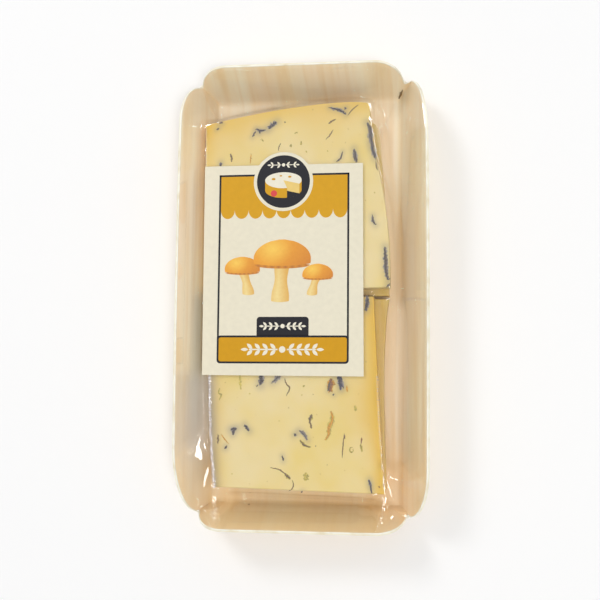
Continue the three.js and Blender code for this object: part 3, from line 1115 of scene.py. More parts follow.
class BitMaker:
    """Makes thin uneven slivers that lie sunk in a surface."""

    broad = 0.95

    def __init__(self, seed: int) -> None:
        """Starts with a fixed seed.

        Args:
            seed: Seed of the unevenness.
        """
        self.draw = np.random.default_rng(seed)
        self.shell = Shell()

    def sliver(
        self,
        path: np.ndarray,
        width: float,
        surface: Callable[[np.ndarray], np.ndarray],
        proud: float,
        tint: Tint,
    ) -> None:
        """Adds one sliver.

        Args:
            path: Its middle line, as even points.
            width: Its greatest width.
            surface: Gives the height of the surface that it lies in at some places.
            proud: How far it stands out.
            tint: Its colour.
        """
        count, sides = len(path), 10
        ahead = np.gradient(path, axis=0)
        ahead /= np.maximum(np.linalg.norm(ahead, axis=1, keepdims=True), 1e-9)
        across = np.stack([-ahead[:, 1], ahead[:, 0]], axis=1)
        t = np.linspace(0, 1, count)
        swell = np.maximum(np.sin(math.pi * (0.04 + 0.92 * t)), 0.05) ** 0.55
        swell = swell * (1 + 0.22 * self.draw.uniform(-1, 1, count))
        half = width / 2 * swell[:, None] * (1 + 0.42 * self.draw.uniform(-1, 1, (count, sides)))
        angle = np.arange(sides) / sides * 2 * math.pi
        shift = 0.16 * width * self.draw.uniform(-1, 1, count)
        sideways = half * np.cos(angle) + shift[:, None]
        plan = path[:, None, :] + across[:, None, :] * sideways[:, :, None]
        bulge = np.where(np.sin(angle) > 0, proud, 0.35)
        rise = np.sin(angle) * bulge * np.minimum(swell, 1)[:, None]
        rise = rise * (1 + 0.35 * self.draw.uniform(-1, 1, (count, sides)))
        heights = surface(plan.reshape(-1, 2)).reshape(count, sides, 1)
        points = np.concatenate([plan, heights + rise[:, :, None]], axis=2).reshape(-1, 3)
        tips = np.array([path[0], path[-1]])
        ends = np.column_stack([tips, surface(tips)])
        faces = [tuple(face[::-1]) for face in strip_faces(count, sides, True)]
        first, last = count * sides, (count - 1) * sides
        faces += [(first, i, (i + 1) % sides) for i in range(sides)]
        faces += [(first + 1, last + (i + 1) % sides, last + i) for i in range(sides)]
        base = np.array(linear(*tint.value))
        total = len(points) + 2
        tone = base * self.draw.uniform(0.6, 1.5, (total, 1))
        pale = (self.draw.random((total, 1)) < 0.16) & tint.is_dark
        tone = np.where(pale, tone * 0.4 + 0.6 * np.array(linear(124, 112, 104)), tone)
        self.shell.add(np.concatenate([points, ends]), faces, tone=np.clip(tone, 0, 1))

    def bit(self, item: Fleck, surface: Callable[[np.ndarray], np.ndarray], proud: float = 0.13) -> None:
        """Adds one mushroom bit, with a pale bed and a painted shade stroke along one side where it is broad, and
        barbs and crumbs where it is dark and broad.

        Args:
            item: The bit.
            surface: Gives the height of the surface that it lies in.
            proud: How far it stands out.
        """
        places = np.array(item.places, float)
        length = float(np.linalg.norm(np.diff(places, axis=0), axis=1).sum())
        count = max(7, int(length / 0.33))
        path = smooth_path(places, count)
        path[1:-1] += self.draw.normal(0, 0.07 * item.width, (count - 2, 2))
        width = item.width
        if width > self.broad:
            bed = Tint.HAZE if item.tint.is_dark else item.tint.mild
            self.sliver(path, 1.2 * width, surface, 0.4 * proud, bed)
            width *= 0.75
            # A thin darker stroke along one side of a broad bit: painted shade.
            side = np.sign(self.draw.uniform(-1, 1)) * 0.3 * width
            self.sliver(path[1:-1] + [side, 0.0], 0.4 * width, surface, 1.4 * proud, item.tint.deep)
        self.sliver(path, width, surface, proud, item.tint)
        if item.tint.is_dark and item.width > self.broad:
            for _ in range(3 + int(length / 1.6)):
                start = path[self.draw.integers(0, count)]
                angle = self.draw.uniform(0, 2 * math.pi)
                reach = self.draw.uniform(0.45, 0.95) * width
                end = start + reach * np.array([math.cos(angle), math.sin(angle)])
                bend = (start + end) / 2 + self.draw.normal(0, 0.15, 2)
                barb = smooth_path(np.array([start, bend, end]), 7)
                self.sliver(barb, 0.38 * width, surface, 0.8 * proud, item.tint)


@dataclass
class SliceShape:
    """The four curved edges of a slice, each as points in its own direction."""

    front: np.ndarray
    right: np.ndarray
    back: np.ndarray
    left: np.ndarray

    def place(self, u: np.ndarray, v: np.ndarray) -> np.ndarray:
        """Points inside the four edges.

        Args:
            u: Shares of the way from left to right.
            v: Shares of the way from front to back.

        Returns:
            A grid of points, v by u.
        """
        front, back = even_path(self.front, u)[None], even_path(self.back, u)[None]
        left, right = even_path(self.left, v)[:, None], even_path(self.right, v)[:, None]
        a, b = u[None, :, None], v[:, None, None]
        corners = (
            (1 - a) * (1 - b) * self.front[0]
            + a * (1 - b) * self.front[-1]
            + (1 - a) * b * self.back[0]
            + a * b * self.back[-1]
        )
        return (1 - b) * front + b * back + (1 - a) * left + a * right - corners

    @property
    def outline(self) -> np.ndarray:
        """The whole outline, anticlockwise."""
        return np.concatenate([self.front, self.right[1:], self.back[::-1][1:], self.left[::-1][1:-1]])


@dataclass
class RearCut:
    """Outline of a rear slice, which ends in the wheel's round edge."""

    left: float
    right: float
    front_y: float
    front_right_y: float
    right_edge: tuple[Place, Place, Place]
    corner: Place
    corner_left: Place
    crown: Place

    def shape(self) -> SliceShape:
        """Works out the four edges."""
        x, y = self.corner
        turn, end = self.right_edge[-1], (x - 2.4, y + 0.6)
        straight = bezier([(self.right, self.front_right_y), *self.right_edge])
        rounding = bezier([turn, self.corner, end])
        crown_x, crown_y = self.crown
        arc = bezier([end, (crown_x + 14, crown_y + 0.4), (crown_x - 14, crown_y - 1.2), self.corner_left])
        front = np.array([[self.left, self.front_y], [self.right, self.front_right_y]])
        left = np.array([[self.left, self.front_y], self.corner_left])
        return SliceShape(front, np.concatenate([straight, rounding[1:]]), arc[::-1], left)


@dataclass
class FrontCut:
    """Outline of a front slice, cut straight on all sides."""

    back_left: Place
    back_right: Place
    waist: Place
    front_right: Place
    front_left: Place
    left_bow: float = 1.3

    def shape(self) -> SliceShape:
        """Works out the four edges."""
        middle = tuple((a + b) / 2 for a, b in zip(self.back_left, self.front_left))
        left = bezier([self.front_left, (middle[0] - self.left_bow, middle[1]), self.back_left])
        right = bezier([self.front_right, self.waist, self.back_right])
        front = np.array([self.front_left, self.front_right])
        return SliceShape(front, right, np.array([self.back_left, self.back_right]), left)


@dataclass
class CheeseSlice:
    """One cut slice with softened edges, stains round its mushroom bits, painted shade where set, and the bits
    themselves.
    """

    name: str
    cut: RearCut | FrontCut
    base: float
    flecks: tuple[Fleck, ...] = ()
    gilt_back: float = 0.0
    gilt_right: float = 0.0
    gilt_left: float = 0.0
    shade_left: float = 0.0
    gilt_all: float = 0.0
    shade_all: float = 0.0
    seed: int = 1
    slot: str = "cheese"
    thickness: float = 7.0
    soft_edge: float = 0.5
    step: float = 0.8
    side_rows: int = 7
    specks: float = 9000.0
    surface_points: np.ndarray = field(default_factory=lambda: np.zeros((1, 3)))

    @property
    def top(self) -> float:
        """Height of the top face."""
        return self.base + self.thickness

    def shares(self, length: float) -> np.ndarray:
        """Shares across the slice, closer together at both edges."""
        close = np.array([0.0, 0.06, 0.16, 0.32, 0.55, 0.9]) * self.soft_edge / 0.5
        inner = np.linspace(close[-1], length - close[-1], int(length / self.step))
        return np.concatenate([close, inner[1:-1], (length - close)[::-1]]) / length

    def gilt(self, points: np.ndarray, to_back: np.ndarray, to_right: np.ndarray) -> np.ndarray:
        """How golden the paste is at each point.

        Args:
            points: The points.
            to_back: Their distances from the back edge.
            to_right: Their distances from the right edge.

        Returns:
            Shares of the golden colour.
        """
        wander = 1 + 0.25 * np.sin(points[:, 0] / 7.3) + 0.2 * np.sin(points[:, 1] / 9.1 + 1)
        share = self.gilt_all
        if self.gilt_back:
            share = share + 0.62 * np.exp(-((to_back / (self.gilt_back * wander)) ** 2))
        if self.gilt_right:
            share = share + 0.95 * np.exp(-((to_right / (self.gilt_right * wander)) ** 2))
        if self.gilt_left:
            share = share + 0.45 * np.exp(-((self.left_gap(points) / (self.gilt_left * wander)) ** 2))
        return np.clip(share, 0, 1) * np.ones(len(points))

    def stain(self, points: np.ndarray) -> np.ndarray:
        """How grey the paste is at each point: real stains round the dark bits plus painted shade along the left edge
        and all over where set.
        """
        total = np.zeros(len(points))
        for item in self.flecks:
            if not item.stains:
                continue
            path = smooth_path(np.array(item.places, float), 9)
            gap = np.min(np.linalg.norm(points[:, None, :2] - path[None], axis=2), axis=1)
            reach = 0.9 + 0.8 * item.width
            strength = 0.2 + 0.1 * min(item.width, 2.0)
            total = 1 - (1 - total) * (1 - strength * np.exp(-((gap / reach) ** 2)))
        # Painted shade: darker along the left edge and all over the slice where set.
        if self.shade_left:
            total += 0.62 * np.exp(-((self.left_gap(points) / self.shade_left) ** 2))
        total += self.shade_all
        return np.minimum(total, 0.75)

    def left_gap(self, points: np.ndarray) -> np.ndarray:
        """Distances of points from the left edge."""
        edge = self.cut.shape().left
        return np.abs(points[:, 0] - np.interp(points[:, 1], edge[:, 1], edge[:, 0]))

    def build(self, material: bpy.types.Material) -> bpy.types.Object:
        """Builds the slice.

        Args:
            material: The cheese's material.

        Returns:
            The piece.
        """
        shape = self.cut.shape()
        width = float(np.linalg.norm(shape.front[-1] - shape.front[0]))
        depth = float(np.linalg.norm(shape.left[-1] - shape.left[0]))
        u, v = self.shares(width), self.shares(depth)
        plan = shape.place(u, v)
        from_side = np.minimum(u, 1 - u)[None, :] * width
        from_end = np.minimum(v, 1 - v)[:, None] * depth
        r = self.soft_edge
        lack = np.hypot(np.maximum(r - from_side, 0), np.maximum(r - from_end, 0))
        drop = r - np.sqrt(np.maximum(r * r - np.minimum(lack, r) ** 2, 0))
        wave = 0.05 * (np.sin(plan[..., 0] / 6.1 + self.seed) + np.sin(plan[..., 1] / 7.7 + 2 * self.seed)) - 0.06
        z = self.top - drop + wave * np.minimum(1, np.minimum(from_side, from_end) / 3)
        top = np.concatenate([plan, z[..., None]], axis=2).reshape(-1, 3)
        self.surface_points = top
        rows, columns = plan.shape[:2]
        to_back = ((1 - v)[:, None] * depth * np.ones((1, columns))).ravel()
        to_right = ((1 - u)[None, :] * width * np.ones((rows, 1))).ravel()
        grid = np.arange(rows * columns).reshape(rows, columns)
        ring = np.concatenate([grid[0], grid[1:, -1], grid[-1, ::-1][1:], grid[::-1, 0][1:-1]])
        around = top[ring]
        outward = np.roll(around, -1, 0) - np.roll(around, 1, 0)
        outward = np.stack([outward[:, 1], -outward[:, 0]], axis=1)
        outward /= np.linalg.norm(outward, axis=1, keepdims=True)
        levels = np.linspace(self.top - r, self.base + r, self.side_rows)
        sides = []
        for level, height in enumerate(levels):
            run = np.arange(len(ring))
            ripple = 0.05 * np.sin(run / 3.7 + 2.1 * level) + 0.04 * np.sin(run / 1.9 + level)
            sides.append(np.column_stack([around[:, :2] + outward * ripple[:, None], np.full(len(ring), height)]))
        foot = np.column_stack([around[:, :2] - outward * r, np.full(len(ring), self.base)])
        body = np.concatenate([top, *sides, foot])
        faces = [tuple(face) for face in strip_faces(rows, columns, False)]
        count = len(ring)
        chain = [ring] + [rows * columns + count * k + np.arange(count) for k in range(self.side_rows + 1)]
        for upper, lower in zip(chain, chain[1:]):
            ahead_upper, ahead_lower = np.roll(upper, -1), np.roll(lower, -1)
            faces += list(zip(lower, ahead_lower, ahead_upper, upper))
        faces.append(tuple(chain[-1][::-1]))
        behind = (self.side_rows + 1) * [to_back[ring]]
        beside = (self.side_rows + 1) * [to_right[ring]]
        gilt = self.gilt(body, np.concatenate([to_back, *behind]), np.concatenate([to_right, *beside]))
        shell = Shell()
        shell.add(body, faces, gilt=gilt, stain=self.stain(body))
        piece = shell.build(self.name + "_paste", [material], 40.0)
        return settle(piece, self.slot, self.name)

    def surface(self, places: np.ndarray) -> np.ndarray:
        """Height of the built top face at some places."""
        known = self.surface_points
        gaps = (places[:, None, 0] - known[:, 0]) ** 2 + (places[:, None, 1] - known[:, 1]) ** 2
        return known[gaps.argmin(axis=1), 2]

    def dress(self, material: bpy.types.Material) -> None:
        """Builds the mushroom bits of the top face.

        Args:
            material: The bits' material.
        """
        maker = BitMaker(self.seed)
        for item in self.flecks:
            maker.bit(item, self.surface)
        settle(maker.shell.build(self.name + "_mushroom", [material], 60.0), self.slot)

    def speckle(self, tree: PartTree) -> None:
        """Scatters fine specks of mushroom over the top face.

        Args:
            tree: The scattering tree.
        """
        rim = even_path(self.cut.shape().outline, np.linspace(0, 1, 80, endpoint=False))
        middle = rim.mean(0)
        inset = middle + (rim - middle) * 0.97
        height = float(np.median(self.surface_points[:, 2]))
        shell = Shell()
        shell.add(np.column_stack([inset, np.full(len(inset), height)]), [tuple(range(len(inset)))])
        base = shell.build(self.name + "_field", [])
        piece = tree.run(base, self.name + "_specks", Density=self.specks, Seed=self.seed, Size=0.17 * MM)
        discard(base)
        settle(piece, self.slot)


def speck_tree(material: bpy.types.Material) -> PartTree:
    """The tree that scatters small uneven specks over a face.

    Args:
        material: The specks' material.

    Returns:
        The tree.
    """
    tree = PartTree("speck_scatter")
    density = tree.size("Density")
    seed = tree.size("Seed", "NodeSocketInt")
    size = tree.size("Size")
    scatter = tree.node("GeometryNodeDistributePointsOnFaces", Mesh=tree.entry.outputs["Geometry"], Seed=seed)
    tree.tree.links.new(density, scatter.inputs["Density"])
    speck = tree.node("GeometryNodeMeshIcoSphere", Radius=size, Subdivisions=1)
    growth = tree.node("FunctionNodeRandomValue", {"data_type": "FLOAT_VECTOR"}, Seed=seed)
    growth.inputs[0].default_value, growth.inputs[1].default_value = (0.6, 0.5, 0.3), (2.4, 1.3, 0.6)
    turn = tree.node("FunctionNodeRandomValue", {"data_type": "FLOAT_VECTOR"}, Seed=seed)
    turn.inputs[0].default_value, turn.inputs[1].default_value = (0.0, 0.0, 0.0), (0.0, 0.0, 2 * math.pi)
    placed = tree.node("GeometryNodeInstanceOnPoints", Points=scatter.outputs["Points"], Instance=speck.outputs[0])
    tree.tree.links.new(growth.outputs[0], placed.inputs["Scale"])
    tree.tree.links.new(turn.outputs[0], placed.inputs["Rotation"])
    tree.close(placed.outputs[0], material)
    return tree


REAR_FLECKS = (
    fleck(Tint.DARK, 0.8, (-40.9, 82.2), (-40.1, 82.9), (-39.3, 82.3)),
    fleck(Tint.DARK, 0.7, (-42.2, 79.2), (-41.0, 80.1)),
    fleck(Tint.INK, 1.9, (-17.2, 79.1), (-15.2, 81.0), (-13.4, 82.3)),
    fleck(Tint.DARK, 0.9, (-24.9, 75.4), (-23.3, 78.1)),
    fleck(Tint.INK, 1.1, (-23.1, 79.1), (-20.8, 78.3), (-18.5, 78.6)),
    fleck(Tint.INK, 0.8, (-21.5, 78.6), (-21.3, 76.8)),
    fleck(Tint.OLIVE, 0.6, (-20.4, 74.4), (-19.5, 72.9)),
    fleck(Tint.BROWN, 0.7, (-9.7, 82.0), (-9.0, 81.8)),
    fleck(Tint.BROWN, 0.5, (-11.3, 72.0), (-12.0, 70.5), (-12.4, 68.3)),
    fleck(Tint.OLIVE, 0.8, (-6.4, 71.4), (-6.4, 69.8)),
    fleck(Tint.OLIVE, 0.8, (-4.8, 76.4), (-3.3, 77.0)),
    fleck(Tint.BROWN, 0.9, (-35.2, 67.5), (-34.6, 65.4), (-34.7, 63.5)),
    fleck(Tint.AMBER, 0.6, (-25.4, 67.3), (-25.6, 62.5)),
    fleck(Tint.INK, 1.1, (-39.9, 61.7), (-39.8, 63.4)),
    fleck(Tint.INK, 1.2, (11.9, 88.4), (14.5, 87.7), (17.1, 86.8), (19.4, 84.9)),
    fleck(Tint.INK, 1.2, (19.1, 87.7), (19.5, 88.1)),
    fleck(Tint.BROWN, 0.5, (20.2, 84.4), (22.5, 87.2), (25.2, 89.4)),
    fleck(Tint.BROWN, 0.8, (11.2, 80.9), (14.7, 82.8)),
    fleck(Tint.BROWN, 0.5, (10.0, 73.2), (11.8, 75.1), (13.5, 77.8)),
    fleck(Tint.OLIVE, 0.8, (-1.8, 72.8), (-1.5, 70.9)),
    fleck(Tint.PALE, 0.6, (0.8, 68.1), (1.0, 67.1)),
    fleck(Tint.PALE, 0.5, (10.9, 68.1), (11.1, 67.3)),
    fleck(Tint.DARK, 0.7, (15.0, 62.4), (17.0, 64.0), (18.0, 67.3)),
    fleck(Tint.DARK, 1.6, (23.3, 68.3), (23.8, 65.0), (24.4, 61.9)),
    fleck(Tint.BROWN, 0.6, (30.8, 83.4), (30.6, 80.6)),
    fleck(Tint.DARK, 1.7, (29.4, 80.7), (30.6, 78.5), (31.1, 73.8), (32.1, 69.2)),
    fleck(Tint.INK, 1.8, (31.8, 70.5), (32.5, 67.1), (33.3, 63.8)),
    fleck(Tint.BROWN, 0.7, (33.3, 62.0), (34.2, 58.0)),
    fleck(Tint.PALE, 0.6, (32.7, 47.8), (33.1, 47.2)),
    fleck(Tint.DARK, 1.0, (32.0, 36.7), (32.1, 34.4), (33.3, 32.4)),
    fleck(Tint.DARK, 1.6, (37.7, 22.2), (37.9, 15.6), (38.3, 10.5), (39.3, 6.8)),
    fleck(Tint.INK, 1.1, (38.7, 4.0), (39.7, 4.7)),
)

FRONT_FLECKS = (
    fleck(Tint.INK, 1.6, (29.3, -0.2), (29.7, -3.3), (29.0, -7.4)),
    fleck(Tint.OLIVE, 0.7, (-38.6, -43.0), (-39.1, -45.2), (-37.7, -46.2), (-38.8, -48.5)),
    fleck(Tint.PALE, 0.9, (-29.3, -36.0), (-28.6, -43.6)),
    fleck(Tint.INK, 2.1, (-19.1, -36.6), (-19.3, -39.1), (-19.3, -41.4)),
    fleck(Tint.DARK, 0.5, (-20.8, -41.3), (-21.3, -42.3)),
    fleck(Tint.GREY, 1.6, (-13.8, -40.2), (-10.3, -37.3)),
    fleck(Tint.BROWN, 0.6, (-8.2, -38.2), (-7.5, -40.8), (-5.9, -42.8), (-7.4, -46.3)),
    fleck(Tint.PALE, 0.6, (-24.6, -45.2), (-24.3, -45.7)),
    fleck(Tint.INK, 1.6, (-33.1, -61.9), (-30.3, -61.3)),
    fleck(Tint.INK, 1.2, (-31.5, -61.9), (-32.0, -64.4)),
    fleck(Tint.INK, 1.3, (-26.6, -59.6), (-25.5, -61.1), (-24.4, -62.5)),
    fleck(Tint.BROWN, 0.8, (-38.9, -64.2), (-39.0, -68.5)),
    fleck(Tint.AMBER, 0.5, (-37.5, -64.2), (-36.1, -66.0), (-33.9, -68.5)),
    fleck(Tint.INK, 1.1, (-35.2, -69.6), (-35.5, -70.6)),
    fleck(Tint.INK, 1.3, (-3.6, -64.1), (-3.0, -63.7)),
    fleck(Tint.INK, 0.8, (-8.9, -73.4), (-8.5, -75.8)),
    fleck(Tint.BROWN, 0.5, (-14.5, -78.9), (-10.5, -79.7), (-7.6, -81.6), (-5.8, -83.4)),
    fleck(Tint.BROWN, 1.3, (-7.8, -81.5), (-5.2, -84.0)),
    fleck(Tint.BROWN, 0.5, (-4.2, -84.4), (-3.8, -86.5), (-4.5, -88.5), (-5.9, -89.2)),
    fleck(Tint.PALE, 0.5, (-32.3, -81.8), (-32.0, -82.3)),
    fleck(Tint.PALE, 0.5, (-10.7, -57.5), (-10.4, -57.9)),
    fleck(Tint.OLIVE, 0.8, (0.1, -41.8), (1.1, -41.6)),
    fleck(Tint.PALE, 0.5, (-0.3, -45.6), (-0.1, -46.1)),
    fleck(Tint.RUST, 2.3, (13.4, -38.3), (13.2, -40.8), (12.8, -44.3)),
    fleck(Tint.DARK, 0.7, (11.6, -44.0), (12.4, -40.6), (13.7, -38.7)),
    fleck(Tint.DARK, 0.8, (14.1, -45.3), (14.5, -45.8)),
    fleck(Tint.NAVY, 2.1, (16.6, -37.0), (17.3, -39.8), (18.4, -42.1)),
    fleck(Tint.NAVY, 1.1, (17.4, -40.7), (17.6, -43.5)),
    fleck(Tint.AMBER, 0.9, (20.5, -41.5), (20.6, -44.3)),
    fleck(Tint.OLIVE, 1.1, (24.1, -50.4), (24.5, -52.9)),
    fleck(Tint.BROWN, 1.6, (4.6, -54.8), (3.3, -57.6)),
    fleck(Tint.BROWN, 0.9, (3.3, -57.0), (4.4, -61.0)),
    fleck(Tint.AMBER, 1.6, (13.3, -53.0), (14.0, -56.9), (12.4, -60.6), (12.0, -64.3), (10.6, -66.1)),
    fleck(Tint.BROWN, 0.35, (13.4, -53.6), (13.5, -57.3), (12.3, -60.6), (11.7, -64.7)),
    fleck(Tint.GREY, 1.2, (-1.4, -62.0), (1.1, -63.7), (2.5, -66.2)),
    fleck(Tint.BROWN, 1.0, (-1.0, -66.2), (1.1, -68.6), (4.0, -69.3)),
    fleck(Tint.BROWN, 0.5, (19.3, -63.1), (18.7, -69.0), (18.4, -74.0)),
    fleck(Tint.BROWN, 0.7, (19.3, -63.6), (19.5, -65.5)),
    fleck(Tint.OLIVE, 0.5, (23.2, -69.2), (21.9, -69.6), (22.1, -71.3), (23.3, -71.0), (23.4, -69.8)),
    fleck(Tint.RUST, 0.6, (27.2, -64.8), (26.8, -67.7)),
    fleck(Tint.OLIVE, 0.9, (26.8, -67.7), (27.3, -71.2)),
    fleck(Tint.PALE, 1.8, (2.0, -80.9), (1.8, -84.5)),
    fleck(Tint.DARK, 0.7, (-0.4, -89.9), (0.5, -89.4)),
    fleck(Tint.NAVY, 1.1, (30.6, -83.5), (31.2, -86.2)),
    fleck(Tint.NAVY, 0.7, (31.2, -85.8), (31.9, -89.8)),
    fleck(Tint.RUST, 0.8, (35.0, -86.9), (35.3, -86.4)),
    fleck(Tint.BROWN, 0.5, (6.1, -68.7), (6.4, -69.1)),
)

UNDER_Z = 1.5
TOP_Z = 8.8
REAR_TOP_EDGE = ((40.3, 45.0), (34.0, 55.7), (30.5, 82.7))
REAR_UNDER_EDGE = ((38.4, 27.6), (36.9, 52.5), (34.8, 75.0))


def cheese_slices() -> list[CheeseSlice]:
    """The two stacks of two slices."""
    rear_top = RearCut(-46.6, 40.0, 1.4, 3.5, REAR_TOP_EDGE, (31.3, 89.7), (-47.4, 81.7), (6.0, 91.6))
    rear_under = RearCut(-41.4, 39.2, 0.2, 0.3, REAR_UNDER_EDGE, (34.2, 82.0), (-41.6, 73.0), (6.0, 84.0))
    front_top = FrontCut((-44.6, -0.9), (32.5, -0.7), (34.6, -46.0), (37.5, -89.9), (-40.5, -88.1))
    front_under = FrontCut((-40.8, -1.2), (39.2, -1.2), (35.2, -22.0), (38.0, -88.4), (-38.6, -87.6))
    return [
        CheeseSlice("slice_rear_top", rear_top, TOP_Z, REAR_FLECKS, gilt_back=10.0, gilt_left=4.0, seed=3),
        CheeseSlice("slice_rear_under", rear_under, UNDER_Z, gilt_all=0.45, shade_all=0.2, seed=4, slot="cheese_shaded"),
        CheeseSlice(
            "slice_front_top", front_top, TOP_Z, FRONT_FLECKS, gilt_right=9.0, gilt_left=4.5, shade_left=3.2, seed=5
        ),
        CheeseSlice("slice_front_under", front_under, UNDER_Z, gilt_all=0.5, shade_all=0.14, seed=6, slot="cheese_shaded"),
    ]


# Film


@dataclass(frozen=True)
class Pucker:
    """A small fold that stands up from the film along a path."""

    height: float
    width: float
    places: tuple[Place, ...]


@dataclass(frozen=True)
class Slack:
    """A round patch where the film spans freely instead of being drawn tight."""

    centre: Place
    radius: float
    pull: float


@dataclass(frozen=True)
class Crinkle:
    """A row of small uneven bumps in the film between two places."""

    start: Place
    end: Place
    height: float
    width: float
    spacing: float
    seed: int

    def bumps(self) -> tuple[np.ndarray, np.ndarray]:
        """Places and heights of the bumps."""
        draw = np.random.default_rng(self.seed)
        a, b = np.array(self.start), np.array(self.end)
        length = float(np.linalg.norm(b - a))
        count = int(length / self.spacing)
        t = (np.arange(count) + draw.uniform(-0.35, 0.35, count)) / count
        places = a + t[:, None] * (b - a) + draw.normal(0, 0.35 * self.width, (count, 2))
        return places, self.height * draw.uniform(-0.6, 1.4, count)


@dataclass(frozen=True)
class Tension:
    """A taut line in the film between two points, as x, y and height."""

    start: tuple[float, float, float]
    end: tuple[float, float, float]

    def lift(self, x: np.ndarray, y: np.ndarray, reach: float) -> np.ndarray:
        """Least height that the line gives the film at some places, within a reach of it."""
        a, b = np.array(self.start), np.array(self.end)
        run = b[:2] - a[:2]
        t = np.clip(((x - a[0]) * run[0] + (y - a[1]) * run[1]) / float(run @ run), 0, 1)
        gap = np.hypot(x - a[0] - t * run[0], y - a[1] - t * run[1])
        return np.where(gap < reach, a[2] + t * (b[2] - a[2]), 0)


@dataclass(frozen=True)
class FrostAndSheen:
    """A milky mark along a path: partly whitening of stretched film, partly painted highlight and sheen."""

    places: tuple[Place, ...]
    width: float
    share: float
    least: float = 0.3

    def at(self, x: np.ndarray, y: np.ndarray) -> np.ndarray:
        """How strong the mark is at some places."""
        path = smooth_path(np.array(self.places, float), 40)
        gap = np.min(np.hypot(x[..., None] - path[:, 0], y[..., None] - path[:, 1]), axis=-1)
        flaky = np.random.default_rng(len(x)).uniform(self.least, 1, len(x))
        return self.share * flaky * np.exp(-((gap / self.width) ** 2))


